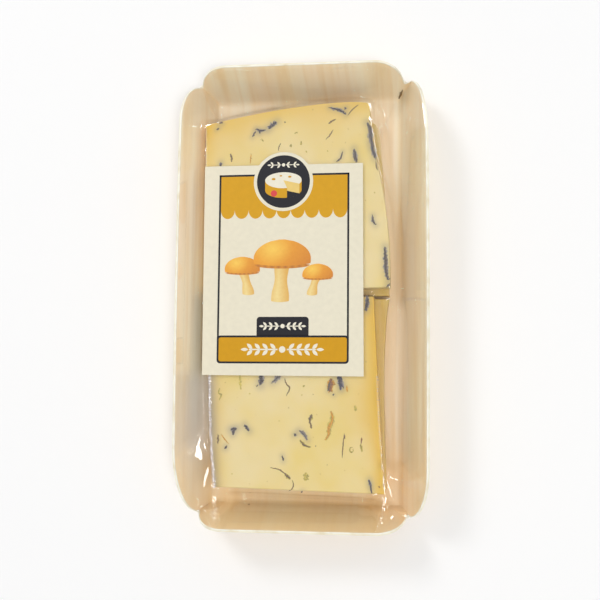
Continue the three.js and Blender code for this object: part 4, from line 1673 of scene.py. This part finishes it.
@dataclass
class SkinFilm:
    """The clear film: a taut skin that the vacuum pulls on to the slices and the tray."""

    tray: Tray
    slices: list[CheeseSlice]
    thickness: float = 0.35
    stand_off: float = 0.35
    edge_reach: float = 0.6
    shoulder: float = 1.6
    pull: float = 1.3
    cell: float = 0.8
    sweeps: int = 900
    over_relaxation: float = 1.92
    side_steps: int = 330
    end_steps: int = 165
    rings: int = 64
    under_rings: int = 12
    plateau: tuple[float, float, float, float] = (-38.0, 27.0, -81.0, 77.0)
    slack: tuple[Slack, ...] = (Slack((-50.0, -82.0), 17.0, 0.12), Slack((46.0, -91.0), 11.0, 0.16))
    tensions: tuple[Tension, ...] = (
        Tension((-57.0, -73.0, 26.6), (-43.6, -80.5, 15.9)),
        Tension((-40.9, -88.5, 15.8), (-37.0, -105.8, 26.2)),
        Tension((37.6, -90.3, 15.8), (35.5, -105.8, 26.2)),
        Tension((38.6, -81.5, 15.4), (57.0, -87.0, 26.6)),
    )
    # Along the front top slice's edges and the rear top slice's left edge: partly stretch whitening, partly painted
    # highlight. The broad patch on the left wall: painted sheen.
    frost_and_sheen: tuple[FrostAndSheen, ...] = (
        FrostAndSheen(((-43.3, -37.0), (-42.7, -56.8), (-41.9, -69.6), (-41.1, -78.2), (-40.2, -88.0)), 0.6, 1.3),
        FrostAndSheen(((34.2, -37.5), (35.2, -60.0), (37.3, -88.0)), 0.4, 0.6),
        FrostAndSheen(((-47.0, 80.0), (-46.7, 62.0)), 0.35, 0.4),
        FrostAndSheen(((-50.0, -42.0), (-50.0, -66.0)), 7.0, 0.24, 1.0),
    )
    puckers: tuple[Pucker, ...] = (
        Pucker(0.7, 1.1, ((-56.0, -84.5), (-53.7, -83.3), (-50.8, -82.1))),
        Pucker(0.6, 1.1, ((-41.3, -88.3), (-38.8, -90.7), (-36.3, -94.3))),
        Pucker(0.6, 1.2, ((-37.5, -97.3), (-37.1, -101.0), (-36.6, -104.6))),
        Pucker(0.35, 0.9, ((-44.9, -102.1), (-43.1, -104.3))),
        Pucker(0.8, 1.4, ((31.9, -91.0), (28.4, -92.9), (25.4, -96.2), (24.6, -98.4), (27.0, -100.6), (34.5, -100.8))),
        Pucker(0.7, 1.3, ((46.1, -81.9), (50.4, -82.4), (53.0, -84.2))),
        Pucker(0.3, 0.9, ((37.0, -103.8), (37.8, -103.9))),
        Pucker(0.3, 0.9, ((38.3, 104.0), (39.4, 104.3))),
        Pucker(0.3, 0.9, ((-35.1, 105.2), (-33.5, 105.2))),
    )
    crinkles: tuple[Crinkle, ...] = (
        Crinkle((-43.6, -37.0), (-42.6, -66.0), 0.3, 0.9, 1.3, 21),
        Crinkle((-42.4, -67.0), (-40.7, -87.0), 0.3, 0.9, 1.3, 25),
        Crinkle((37.0, -37.0), (37.7, -87.0), 0.2, 0.9, 1.7, 22),
        Crinkle((55.9, -72.0), (55.9, -87.0), 0.2, 0.8, 2.0, 23),
        Crinkle((-47.9, 77.0), (-47.3, 62.0), 0.15, 0.9, 1.9, 24),
    )
    heights: np.ndarray = field(default_factory=lambda: np.zeros((1, 1)))

    def outside(self, x: np.ndarray, y: np.ndarray, outline: np.ndarray) -> np.ndarray:
        """How far points lie outside an outline, 0 where they are inside.

        Args:
            x: Places across the tray.
            y: Places along it.
            outline: The outline's points.

        Returns:
            The distances.
        """
        inside = np.zeros(x.shape, bool)
        nearest = np.full(x.shape, np.inf)
        for a, b in zip(outline, np.roll(outline, -1, 0)):
            edge = b - a
            crosses = (a[1] > y) != (b[1] > y)
            if crosses.any():
                inside ^= crosses & (x < edge[0] * (y - a[1]) / (edge[1] or 1e-9) + a[0])
            t = np.clip(((x - a[0]) * edge[0] + (y - a[1]) * edge[1]) / max(float(edge @ edge), 1e-9), 0, 1)
            nearest = np.minimum(nearest, np.hypot(x - a[0] - t * edge[0], y - a[1] - t * edge[1]))
        return np.where(inside, 0.0, nearest)

    def draw_down(self) -> None:
        """Lets the film settle on what lies below it."""
        half_x = math.ceil(self.tray.rim_width / 2 / self.cell) + 2
        half_y = math.ceil(self.tray.rim_length / 2 / self.cell) + 2
        x, y = np.meshgrid(np.arange(-half_x, half_x + 1), np.arange(-half_y, half_y + 1))
        x, y = x * self.cell, y * self.cell
        floor = self.tray.inner_height(x, y, self.stand_off)
        for cheese in self.slices:
            outline = cheese.cut.shape().outline
            past = np.maximum(self.outside(x, y, outline) - self.edge_reach, 0)
            floor = np.maximum(floor, cheese.top + self.stand_off - self.shoulder * past**2)
        for line in self.tensions:
            floor = np.maximum(floor, line.lift(x, y, 0.75 * self.cell))
        z = np.full(x.shape, self.tray.height)
        for edge in (np.s_[0], np.s_[-1], np.s_[:, 0], np.s_[:, -1]):
            z[edge] = floor[edge]
        row, column = np.indices(x.shape)
        pull = np.full(x.shape, self.pull)
        for patch in self.slack:
            share = np.exp(-((np.hypot(x - patch.centre[0], y - patch.centre[1]) / patch.radius) ** 4))
            pull = np.exp((1 - share) * np.log(pull) + share * math.log(patch.pull))
        sag = pull[1:-1, 1:-1] * self.cell**2
        inner = (row > 0) & (row < x.shape[0] - 1) & (column > 0) & (column < x.shape[1] - 1)
        halves = [inner & ((row + column) % 2 == side) for side in (0, 1)]
        for _ in range(self.sweeps):
            for half in halves:
                rest = np.zeros_like(z)
                rest[1:-1, 1:-1] = (z[:-2, 1:-1] + z[2:, 1:-1] + z[1:-1, :-2] + z[1:-1, 2:] - sag) / 4
                moved = np.maximum(floor, z + self.over_relaxation * (rest - z))
                z = np.where(half, moved, z)
        for _ in range(2):
            z[1:-1, 1:-1] = z[1:-1, 1:-1] / 2 + (z[:-2, 1:-1] + z[2:, 1:-1] + z[1:-1, :-2] + z[1:-1, 2:]) / 8
        self.heights = z

    def height_at(self, x: np.ndarray, y: np.ndarray) -> np.ndarray:
        """Height of the film's under face, smoothly between the cells.

        Args:
            x: Places across the tray.
            y: Places along it.

        Returns:
            The heights.
        """
        rows, columns = self.heights.shape
        u = np.clip(x / self.cell + (columns - 1) / 2, 1, columns - 2.001)
        v = np.clip(y / self.cell + (rows - 1) / 2, 1, rows - 2.001)
        i, j = u.astype(int), v.astype(int)

        def weights(f: np.ndarray) -> list[np.ndarray]:
            """Catmull-Rom weights of four neighbours."""
            return [
                (-(f**3) + 2 * f**2 - f) / 2,
                (3 * f**3 - 5 * f**2 + 2) / 2,
                (-3 * f**3 + 4 * f**2 + f) / 2,
                (f**3 - f**2) / 2,
            ]

        total = np.zeros_like(u)
        for down, wy in zip((-1, 0, 1, 2), weights(v - j)):
            for right, wx in zip((-1, 0, 1, 2), weights(u - i)):
                total += wy * wx * self.heights[j + down, i + right]
        for fold in self.puckers:
            path = smooth_path(np.array(fold.places, float), 12 * len(fold.places))
            gap = np.min(np.hypot(x[..., None] - path[:, 0], y[..., None] - path[:, 1]), axis=-1)
            total += fold.height * np.exp(-((gap / fold.width) ** 2))
        for row in self.crinkles:
            for place, height in zip(*row.bumps()):
                total += height * np.exp(-((x - place[0]) ** 2 + (y - place[1]) ** 2) / row.width**2)
        return total

    def ring_set(self, count: int) -> list[np.ndarray]:
        """Rings of places from the plateau out to the rim.

        Args:
            count: Number of rings.

        Returns:
            The rings, as places in plan.
        """
        folds, _, _ = self.tray.face(self.tray.board, self.side_steps, self.end_steps)
        _, rims, _ = self.tray.face(self.tray.board + self.stand_off, self.side_steps, self.end_steps)
        left, right, front, back = self.plateau
        half = np.abs(folds[0, :2])
        u, v = (folds[:, 0] / half[0] + 1) / 2, (folds[:, 1] / half[1] + 1) / 2
        inner = np.column_stack([left + (right - left) * u, front + (back - front) * v])
        return [inner + (rims[:, :2] - inner) * k / count for k in range(count + 1)]

    def build(self, material: bpy.types.Material) -> bpy.types.Object:
        """Builds the film as one thin closed skin.

        Args:
            material: The film's material.

        Returns:
            The piece.
        """
        self.draw_down()
        step = self.cell / 2
        over, under = [], []
        for count, lift, out in ((self.rings, self.thickness, over), (self.under_rings, 0.0, under)):
            for ring in self.ring_set(count):
                x, y = ring.T
                slope_x = (self.height_at(x + step, y) - self.height_at(x - step, y)) / (2 * step)
                slope_y = (self.height_at(x, y + step) - self.height_at(x, y - step)) / (2 * step)
                normal = np.stack([-slope_x, -slope_y, np.ones_like(x)], axis=1)
                normal /= np.linalg.norm(normal, axis=1, keepdims=True)
                out.append(np.column_stack([x, y, self.height_at(x, y)]) + lift * normal)
        rings = [*under, *reversed(over)]
        count = len(rings[0])
        spots = np.concatenate(rings)
        milk = np.zeros(len(spots) + 2)
        for mark in self.frost_and_sheen:
            milk[:-2] = np.clip(np.maximum(milk[:-2], mark.at(spots[:, 0], spots[:, 1])), 0, 1)
        shell = Shell()
        faces = [tuple(face) for face in strip_faces(len(rings), count, True)]
        middles = np.array([rings[0].mean(0), rings[-1].mean(0)])
        first, last = count * len(rings), (len(rings) - 1) * count
        faces += [(first, (i + 1) % count, i) for i in range(count)]
        faces += [(first + 1, last + i, last + (i + 1) % count) for i in range(count)]
        shell.add(np.concatenate([spots, middles]), faces, milk=milk)
        return settle(shell.build("skin_film", [material], 80.0), "film", "film")


# Label


def disc(centre: Place, radius: float, count: int = 64, squash: float = 1.0) -> np.ndarray:
    """Outline of a circle, or of an ellipse where it is squashed."""
    angle = np.arange(count) / count * 2 * math.pi
    return np.column_stack([centre[0] + radius * np.cos(angle), centre[1] + squash * radius * np.sin(angle)])


def rounded_box(low: Place, high: Place, radii: Sequence[float], steps: int = 8) -> np.ndarray:
    """Outline of a box with rounded corners.

    Args:
        low: Its front left corner.
        high: Its back right corner.
        radii: Radii of the corners, anticlockwise from the front left one.
        steps: Steps of each rounding.

    Returns:
        The outline, anticlockwise.
    """
    corners = [(low[0], low[1]), (high[0], low[1]), (high[0], high[1]), (low[0], high[1])]
    inward = [(1, 1), (-1, 1), (-1, -1), (1, -1)]
    points = []
    for k, ((x, y), (sx, sy), radius) in enumerate(zip(corners, inward, radii)):
        for step in range(steps + 1):
            angle = math.pi * (1 + k / 2) + step / steps * math.pi / 2
            points.append((x + sx * radius + radius * math.cos(angle), y + sy * radius + radius * math.sin(angle)))
            if radius == 0:
                break
    return np.array(points)


def leaf(foot: Place, turn: float, length: float, width: float, steps: int = 10) -> np.ndarray:
    """Outline of a pointed leaf.

    Args:
        foot: Where it grows from.
        turn: Its direction in degrees.
        length: Its length.
        width: Its greatest width.
        steps: Steps of each side.

    Returns:
        The outline, anticlockwise.
    """
    t = np.linspace(0, 1, steps + 1)
    side = width / 2 * np.sin(math.pi * t) ** 0.9
    lower, upper = np.column_stack([t * length, -side]), np.column_stack([t * length, side])[::-1]
    flat = np.concatenate([lower[:-1], upper[:-1]])
    a = math.radians(turn)
    spin = np.array([[math.cos(a), math.sin(a)], [-math.sin(a), math.cos(a)]])
    return flat @ spin + np.array(foot)


def sprig(centre: Place, half: float, pairs: int, size: float) -> list[np.ndarray]:
    """Outlines of a level ornament: a thin stem with pairs of leaves that point away from its middle.

    Args:
        centre: Its middle.
        half: Half its length.
        pairs: Pairs of leaves on each side.
        size: Length of a leaf.

    Returns:
        The outlines.
    """
    x, y = centre
    outlines = [disc(centre, 0.42 * size, 20)]
    for way in (-1, 1):
        inner, outer = sorted((x + way * 0.6 * size, x + way * half))
        outlines.append(rounded_box((inner, y - 0.09 * size), (outer, y + 0.09 * size), (0, 0, 0, 0)))
        for k in range(pairs):
            foot = x + way * (0.85 * size + (half - 1.3 * size) * k / max(pairs - 1, 1))
            for up in (-1, 1):
                turn = 90 - way * 45 if up > 0 else -90 + way * 45
                outlines.append(leaf((foot, y + up * 0.05 * size), turn, size, 0.45 * size))
        outlines.append(leaf((x + way * (half + 0.08 * size), y), 0 if way > 0 else 180, size, 0.42 * size))
    return outlines


def prism(shell: Shell, outline: np.ndarray, low: float, high: float) -> None:
    """Adds a flat closed plate of any outline.

    Args:
        shell: Where it goes.
        outline: Its outline, anticlockwise.
        low: Height of its under face.
        high: Height of its top face.
    """
    count = len(outline)
    points = np.concatenate([np.column_stack([outline, np.full(count, z)]) for z in (low, high)])
    faces = [tuple(range(count - 1, -1, -1)), tuple(range(count, 2 * count))]
    faces += [(i, (i + 1) % count, count + (i + 1) % count, count + i) for i in range(count)]
    shell.add(points, faces)


def plate(shell: Shell, grid: np.ndarray, tone: np.ndarray, low: float, high: float) -> None:
    """Adds a flat closed plate whose colour changes over a grid of places.

    Args:
        shell: Where it goes.
        grid: The places, rows by columns, anticlockwise from their first row to their last.
        tone: A colour for each place.
        low: Height of its under face.
        high: Height of its top face.
    """
    rows, columns = grid.shape[:2]
    count = rows * columns
    flat = grid.reshape(-1, 2)
    points = np.concatenate([np.column_stack([flat, np.full(count, z)]) for z in (low, high)])
    colours = tone.reshape(-1, 3)
    shell.add(points, closed_plate_faces(rows, columns), tone=np.concatenate([colours, colours]))


def blend(first: Colour, second: Colour, share: np.ndarray) -> np.ndarray:
    """Colours between two, one for each share."""
    share = np.clip(share, 0, 1)[..., None]
    return (1 - share) * np.array(first) + share * np.array(second)


@dataclass(frozen=True)
class Mushroom:
    """A domed mushroom of the label's picture: its foot, height, lean and cap."""

    foot: Place
    height: float
    lean: float
    stem: float
    cap: Place
    layer: int

    light: Colour = linear(250, 205, 84)
    ripe: Colour = linear(236, 160, 34)
    deep: Colour = linear(204, 118, 22)
    gill: Colour = linear(186, 112, 34)
    flesh: Colour = linear(248, 230, 160)
    shade: Colour = linear(226, 176, 84)

    @property
    def crown(self) -> Place:
        """Middle of the cap's rim."""
        return (self.foot[0] + self.lean, self.foot[1] + self.height)

    def draw(self, shell: Shell, low: float, step: float) -> None:
        """Draws the mushroom as three flat shaded plates.

        Args:
            shell: Where they go.
            low: Height of their under face.
            step: Thickness of one ink.
        """
        top = low + 0.05 + step * (2 + 4 * self.layer)
        half, dome = self.cap
        crown_x, crown_y = self.crown
        across, up = np.meshgrid(np.linspace(-1, 1, 17), np.linspace(0, 1, 15))

        bend = self.lean * up**1.6
        swell = self.stem / 2 * (1.25 - 0.75 * up + 0.45 * up**2 + 0.1 * np.sin(9 * up))
        stalk = np.stack([self.foot[0] + bend + across * swell, self.foot[1] + up * (self.height + 0.6)], axis=-1)
        stalk[0, :, 1] -= 0.5 * (1 - np.linspace(-1, 1, 17) ** 2)
        side = 0.25 + 0.55 * np.abs(across + 0.35) + 0.35 * up**3
        plate(shell, stalk, blend(self.flesh, self.shade, side), low, top)

        ribs = 0.5 + 0.5 * np.cos(across * 26)
        rim = np.sqrt(np.maximum(1.02 - across**2, 0.0))
        hollow = np.stack([
            crown_x + half * 0.97 * across,
            crown_y + (0.05 - 0.2 * (1 - up)) * dome * rim - 0.06 * dome,
        ], axis=-1)
        plate(shell, hollow, blend(self.gill, self.ripe, 0.55 * ribs), low, top + step)

        wide = np.sqrt(np.maximum(1 - (0.995 * up) ** 2.3, 0.0)) * (1 + 0.05 * np.sin(3.0 * up))
        lip = 0.1 * dome * (1 - np.abs(across) ** 2.4) * (1 - up) ** 2
        cap = np.stack([crown_x + half * across * wide, crown_y + dome * up - lip], axis=-1)
        glow = np.hypot(across * wide + 0.35, (up - 0.62) * 1.1)
        colour = blend(self.light, self.ripe, glow * 1.35)
        dusk = np.clip(across * wide * 0.7 - 0.1 + 0.5 * (1 - up) ** 2, 0, 1)[..., None]
        colour = colour * (1 - 0.75 * dusk) + np.array(self.deep) * 0.75 * dusk
        plate(shell, cap, colour, low, top + 2 * step)


@dataclass
class Label:
    """The paper label: a cut rectangle with a round badge past its top edge, and its print."""

    base: float = 16.8
    thickness: float = 0.3
    corners: tuple[Place, ...] = ((-46.8, -37.0), (28.1, -37.3), (27.5, 61.3), (-47.1, 61.2))
    badge_centre: Place = (-9.6, 53.3)
    badge_radius: float = 14.05
    disc_radius: float = 12.5
    frame_low: Place = (-40.0, -31.6)
    frame_high: Place = (21.3, 56.9)
    frame_line: float = 0.9
    banner_top: float = -18.7
    tab_low: Place = (-21.4, -18.9)
    tab_high: Place = (2.8, -10.1)
    ink_step: float = 0.012
    scallops: int = 9
    field_low: float = 40.0
    mushrooms: tuple[Mushroom, ...] = (
        Mushroom((-25.5, 0.5), 10.5, -3.0, 4.4, (8.2, 7.0), 0),
        Mushroom((-10.6, -2.8), 17.5, 0.8, 6.6, (13.2, 11.2), 1),
        Mushroom((4.2, 0.2), 8.0, 2.6, 3.8, (7.0, 6.2), 2),
    )

    @property
    def top(self) -> float:
        """Height of the paper's printed face."""
        return self.base + self.thickness

    def outline(self) -> np.ndarray:
        """The label's outline with the badge, anticlockwise."""
        front_left, front_right, back_right, back_left = (np.array(c) for c in self.corners)
        centre = np.array(self.badge_centre)
        slope = (back_right[1] - back_left[1]) / (back_right[0] - back_left[0])

        def edge_y(x: float) -> float:
            """Height of the top edge in plan."""
            return back_left[1] + slope * (x - back_left[0])

        rise = edge_y(centre[0]) - centre[1]
        half_chord = math.sqrt(self.badge_radius**2 - rise**2)
        start = math.atan2(edge_y(centre[0] + half_chord) - centre[1], half_chord)
        end = math.atan2(edge_y(centre[0] - half_chord) - centre[1], -half_chord)
        angle = np.linspace(start, end, 49)
        arc = centre + self.badge_radius * np.column_stack([np.cos(angle), np.sin(angle)])
        return np.concatenate([[front_left, front_right, back_right], arc, [back_left]])

    def field_outline(self) -> np.ndarray:
        """The mustard field with its scalloped lower edge, anticlockwise from its lower left."""
        low_x, high_x = self.frame_low[0] + self.frame_line, self.frame_high[0] - self.frame_line
        pitch = (high_x - low_x) / self.scallops
        points: list[Place] = []
        for k in range(self.scallops):
            middle = low_x + (k + 0.5) * pitch
            for step in range(13):
                angle = math.pi * (1 + step / 12)
                points.append((middle + pitch / 2 * math.cos(angle), self.field_low + pitch * 0.62 * math.sin(angle)))
        high_y = self.frame_high[1] - self.frame_line
        return np.array([*points, (high_x, high_y), (low_x, high_y)])

    def build_paper(self) -> bpy.types.Object:
        """Builds the paper."""
        shell = Shell()
        prism(shell, self.outline(), self.base, self.top)
        paper = shell.build("label_sheet", [PaperFinish(Ink.PAPER).material()])
        return settle(paper, "label_paper", "label")

    def print_layer(self, name: str, ink: Ink, outlines: Iterable[np.ndarray], layer: int) -> None:
        """Prints one ink.

        Args:
            name: Name of the piece.
            ink: The ink.
            outlines: Outlines of the printed fields.
            layer: How many inks lie under it.
        """
        shell = Shell()
        for outline in outlines:
            prism(shell, outline, self.top - 0.05, self.top + self.ink_step * (layer + 1))
        settle(shell.build(name, [PaperFinish(ink).material()]), "label_paper")

    def frame_bars(self) -> list[np.ndarray]:
        """The dark frame as bars that run down into the banner's edge."""
        (x0, y0), (x1, y1), w = self.frame_low, self.frame_high, self.frame_line
        foot = self.banner_top - 2 * w
        return [
            rounded_box((x0, foot), (x0 + w, y1), (0, 0, 0, 0)),
            rounded_box((x1 - w, foot), (x1, y1), (0, 0, 0, 0)),
            rounded_box((x0, y1 - w), (x1, y1), (0, 0, 0, 0)),
        ]

    def build_badge(self) -> None:
        """Prints the badge: a cheese wheel with a wedge cut out, on a dark disc."""
        x, y = self.badge_centre
        self.print_layer("badge_ring", Ink.PAPER, [disc((x, y), self.badge_radius - 0.05)], 2)
        self.print_layer("badge_disc", Ink.BLACK, [disc((x, y), self.disc_radius)], 3)
        half, squash, depth = 8.6, 0.44, 4.6
        rim_y = y + 0.6
        angle = np.linspace(math.pi, 2 * math.pi, 33)
        lower = np.column_stack([x + half * np.cos(angle), rim_y - depth + squash * half * np.sin(angle)])
        upper = np.column_stack([x + half * np.cos(angle), rim_y + squash * half * np.sin(angle)])[::-1]
        self.print_layer("badge_wheel_side", Ink.MUSTARD, [np.concatenate([lower, upper])], 4)
        self.print_layer("badge_wheel_top", Ink.CREAM, [disc((x, rim_y), half, 64, squash)], 5)
        turn = np.linspace(math.radians(-78), math.radians(-28), 9)
        rim = np.column_stack([x + half * np.cos(turn), rim_y + squash * half * np.sin(turn)])
        foot = rim - [0.0, depth]
        middle = np.array([x, rim_y])
        gap = np.concatenate([[middle], rim[:1], foot, rim[-1:]])
        self.print_layer("badge_cut", Ink.BLACK, [gap], 6)
        share = (rim[0, 0] - x) / (foot[-1, 0] - x)
        corner = np.array([rim[0, 0], rim_y - depth + share * (foot[-1, 1] - rim_y + depth)])
        self.print_layer("badge_cut_face", Ink.PASTE, [np.array([middle, rim[0], corner, foot[-1], rim[-1]])], 7)
        spots = ((-4.6, 0.6, 0.9), (-1.2, 2.1, 0.6), (3.0, 1.6, 0.8))
        holes = [disc((x + dx, rim_y + dy), r, 20, 0.6) for dx, dy, r in spots]
        self.print_layer("badge_holes", Ink.OCHRE, holes, 7)
        self.print_layer("badge_seal", Ink.RED, [disc((x - 4.4, rim_y - depth - 1.6), 1.5, 28)], 8)
        self.print_layer("badge_sprig", Ink.CREAM, sprig((x, y + 7.9), 5.6, 2, 1.9), 4)

    def build(self) -> None:
        """Builds the paper and its print."""
        self.build_paper()
        low, high, w = self.frame_low, self.frame_high, self.frame_line
        self.print_layer("label_field", Ink.MUSTARD, [self.field_outline()], 0)
        self.print_layer("label_frame", Ink.BLACK, self.frame_bars(), 1)
        banner = rounded_box(low, (high[0], self.banner_top), (1.6, 1.6, 1.6, 1.6))
        inside = rounded_box((low[0] + w, low[1] + w), (high[0] - w, self.banner_top - w), (1.0, 1.0, 1.0, 1.0))
        tab = rounded_box(self.tab_low, self.tab_high, (0, 0, 1.5, 1.5))
        self.print_layer("label_banner_edge", Ink.BLACK, [banner, tab], 2)
        self.print_layer("label_banner", Ink.OCHRE, [inside], 3)
        tab_middle = ((self.tab_low[0] + self.tab_high[0]) / 2, (self.banner_top + self.tab_high[1]) / 2)
        banner_middle = ((low[0] + high[0]) / 2, (low[1] + self.banner_top) / 2)
        ornaments = [*sprig(tab_middle, 8.4, 3, 2.4), *sprig(banner_middle, 15.5, 4, 3.6)]
        self.print_layer("label_ornaments", Ink.CREAM, ornaments, 4)
        self.build_badge()
        picture = Shell()
        for item in self.mushrooms:
            item.draw(picture, self.top - 0.05, self.ink_step)
        settle(picture.build("label_mushrooms", [PictureFinish().material()]), "label_paper")


# Studio


@dataclass
class Studio:
    """A plain pale floor, soft lamps and a camera that looks down on the pack."""

    lens: float = 60.0
    camera_place: tuple[float, float, float] = (59.63, -48.58, 470.98)
    camera_roll: float = 0.265
    camera_yaw: float = -7.605
    camera_pitch: float = -5.816
    floor_half: float = 1500.0
    floor_drop: float = 0.2

    def camera(self) -> None:
        """Places the camera."""
        data = bpy.data.cameras.new("camera")
        data.lens = self.lens
        data.clip_start = 0.01
        camera = bpy.data.objects.new("camera", data)
        turn = (
            Matrix.Rotation(math.radians(self.camera_roll), 3, "Z")
            @ Matrix.Rotation(math.radians(self.camera_yaw), 3, "Y")
            @ Matrix.Rotation(math.radians(self.camera_pitch), 3, "X")
        )
        camera.matrix_world = Matrix.Translation(Vector(self.camera_place) * MM) @ turn.transposed().to_4x4()
        bpy.context.scene.collection.objects.link(camera)
        bpy.context.scene.camera = camera

    def lamp(self, name: str, place: tuple, size: Place, power: float, gloss_only: bool = False) -> None:
        """Places one soft rectangular lamp that faces the middle of the pack.

        Args:
            name: Name of the lamp.
            place: Its place in millimetres.
            size: Its width and height in millimetres.
            power: Its power in watts.
            gloss_only: Whether it shows only in the gloss of surfaces.
        """
        data = bpy.data.lights.new(name, "AREA")
        data.shape = "RECTANGLE"
        data.size, data.size_y = size[0] * MM, size[1] * MM
        data.energy = power
        lamp = bpy.data.objects.new(name, data)
        lamp.visible_diffuse = not gloss_only
        at = Vector(place) * MM
        lamp.matrix_world = Matrix.Translation(at) @ at.to_track_quat("Z", "Y").to_matrix().to_4x4()
        bpy.context.scene.collection.objects.link(lamp)

    def build(self) -> None:
        """Makes the floor, the lamps and the camera."""
        half = self.floor_half
        shell = Shell()
        corners = [[-half, -half], [half, -half], [half, half], [-half, half]]
        shell.add(np.array([[x, y, -self.floor_drop] for x, y in corners]), [(0, 1, 2, 3)])
        shader = Shader("pale_floor")
        surface = shader.node("ShaderNodeBsdfPrincipled", Base_Color=(0.97, 0.97, 0.97), Roughness=0.9)
        floor = shell.build("floor", [shader.finish(surface.outputs[0])])
        self.lamp("key_front", (400, -400, 1500), (450, 450), 7.0)
        self.lamp("key_back", (-850, 900, 1250), (450, 450), 6.0)
        self.lamp("glint_right", (580, 560, 440), (320, 480), 8.6, True)
        self.lamp("glint_left", (-560, 560, 560), (320, 320), 5.8, True)
        world = bpy.data.worlds.new("studio")
        world.use_nodes = True
        world.node_tree.nodes["Background"].inputs[0].default_value = (1.0, 1.0, 1.0, 1.0)
        world.node_tree.nodes["Background"].inputs[1].default_value = 0.6
        scene = bpy.context.scene
        scene.world = world
        scene.view_settings.view_transform = "Standard"
        self.camera()


def main() -> None:
    """Builds the pack in order."""
    logging.basicConfig(level=logging.INFO, format="%(name)s %(message)s")
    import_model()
    tray = Tray()
    tray.build()
    tray.build_seal()
    tray.build_ears()
    tray.build_marks()
    slices = cheese_slices()
    paste, bits = CheeseFinish().material(), BitFinish().material("mushroom_bits")
    specks = speck_tree(SpeckFinish().material())
    for cheese in slices:
        cheese.build(paste)
        if cheese.flecks:
            cheese.dress(bits)
            cheese.speckle(specks)
    SkinFilm(tray, slices).build(FilmFinish().material())
    Label().build()
    Studio().build()


if __name__ == "__main__":
    main()
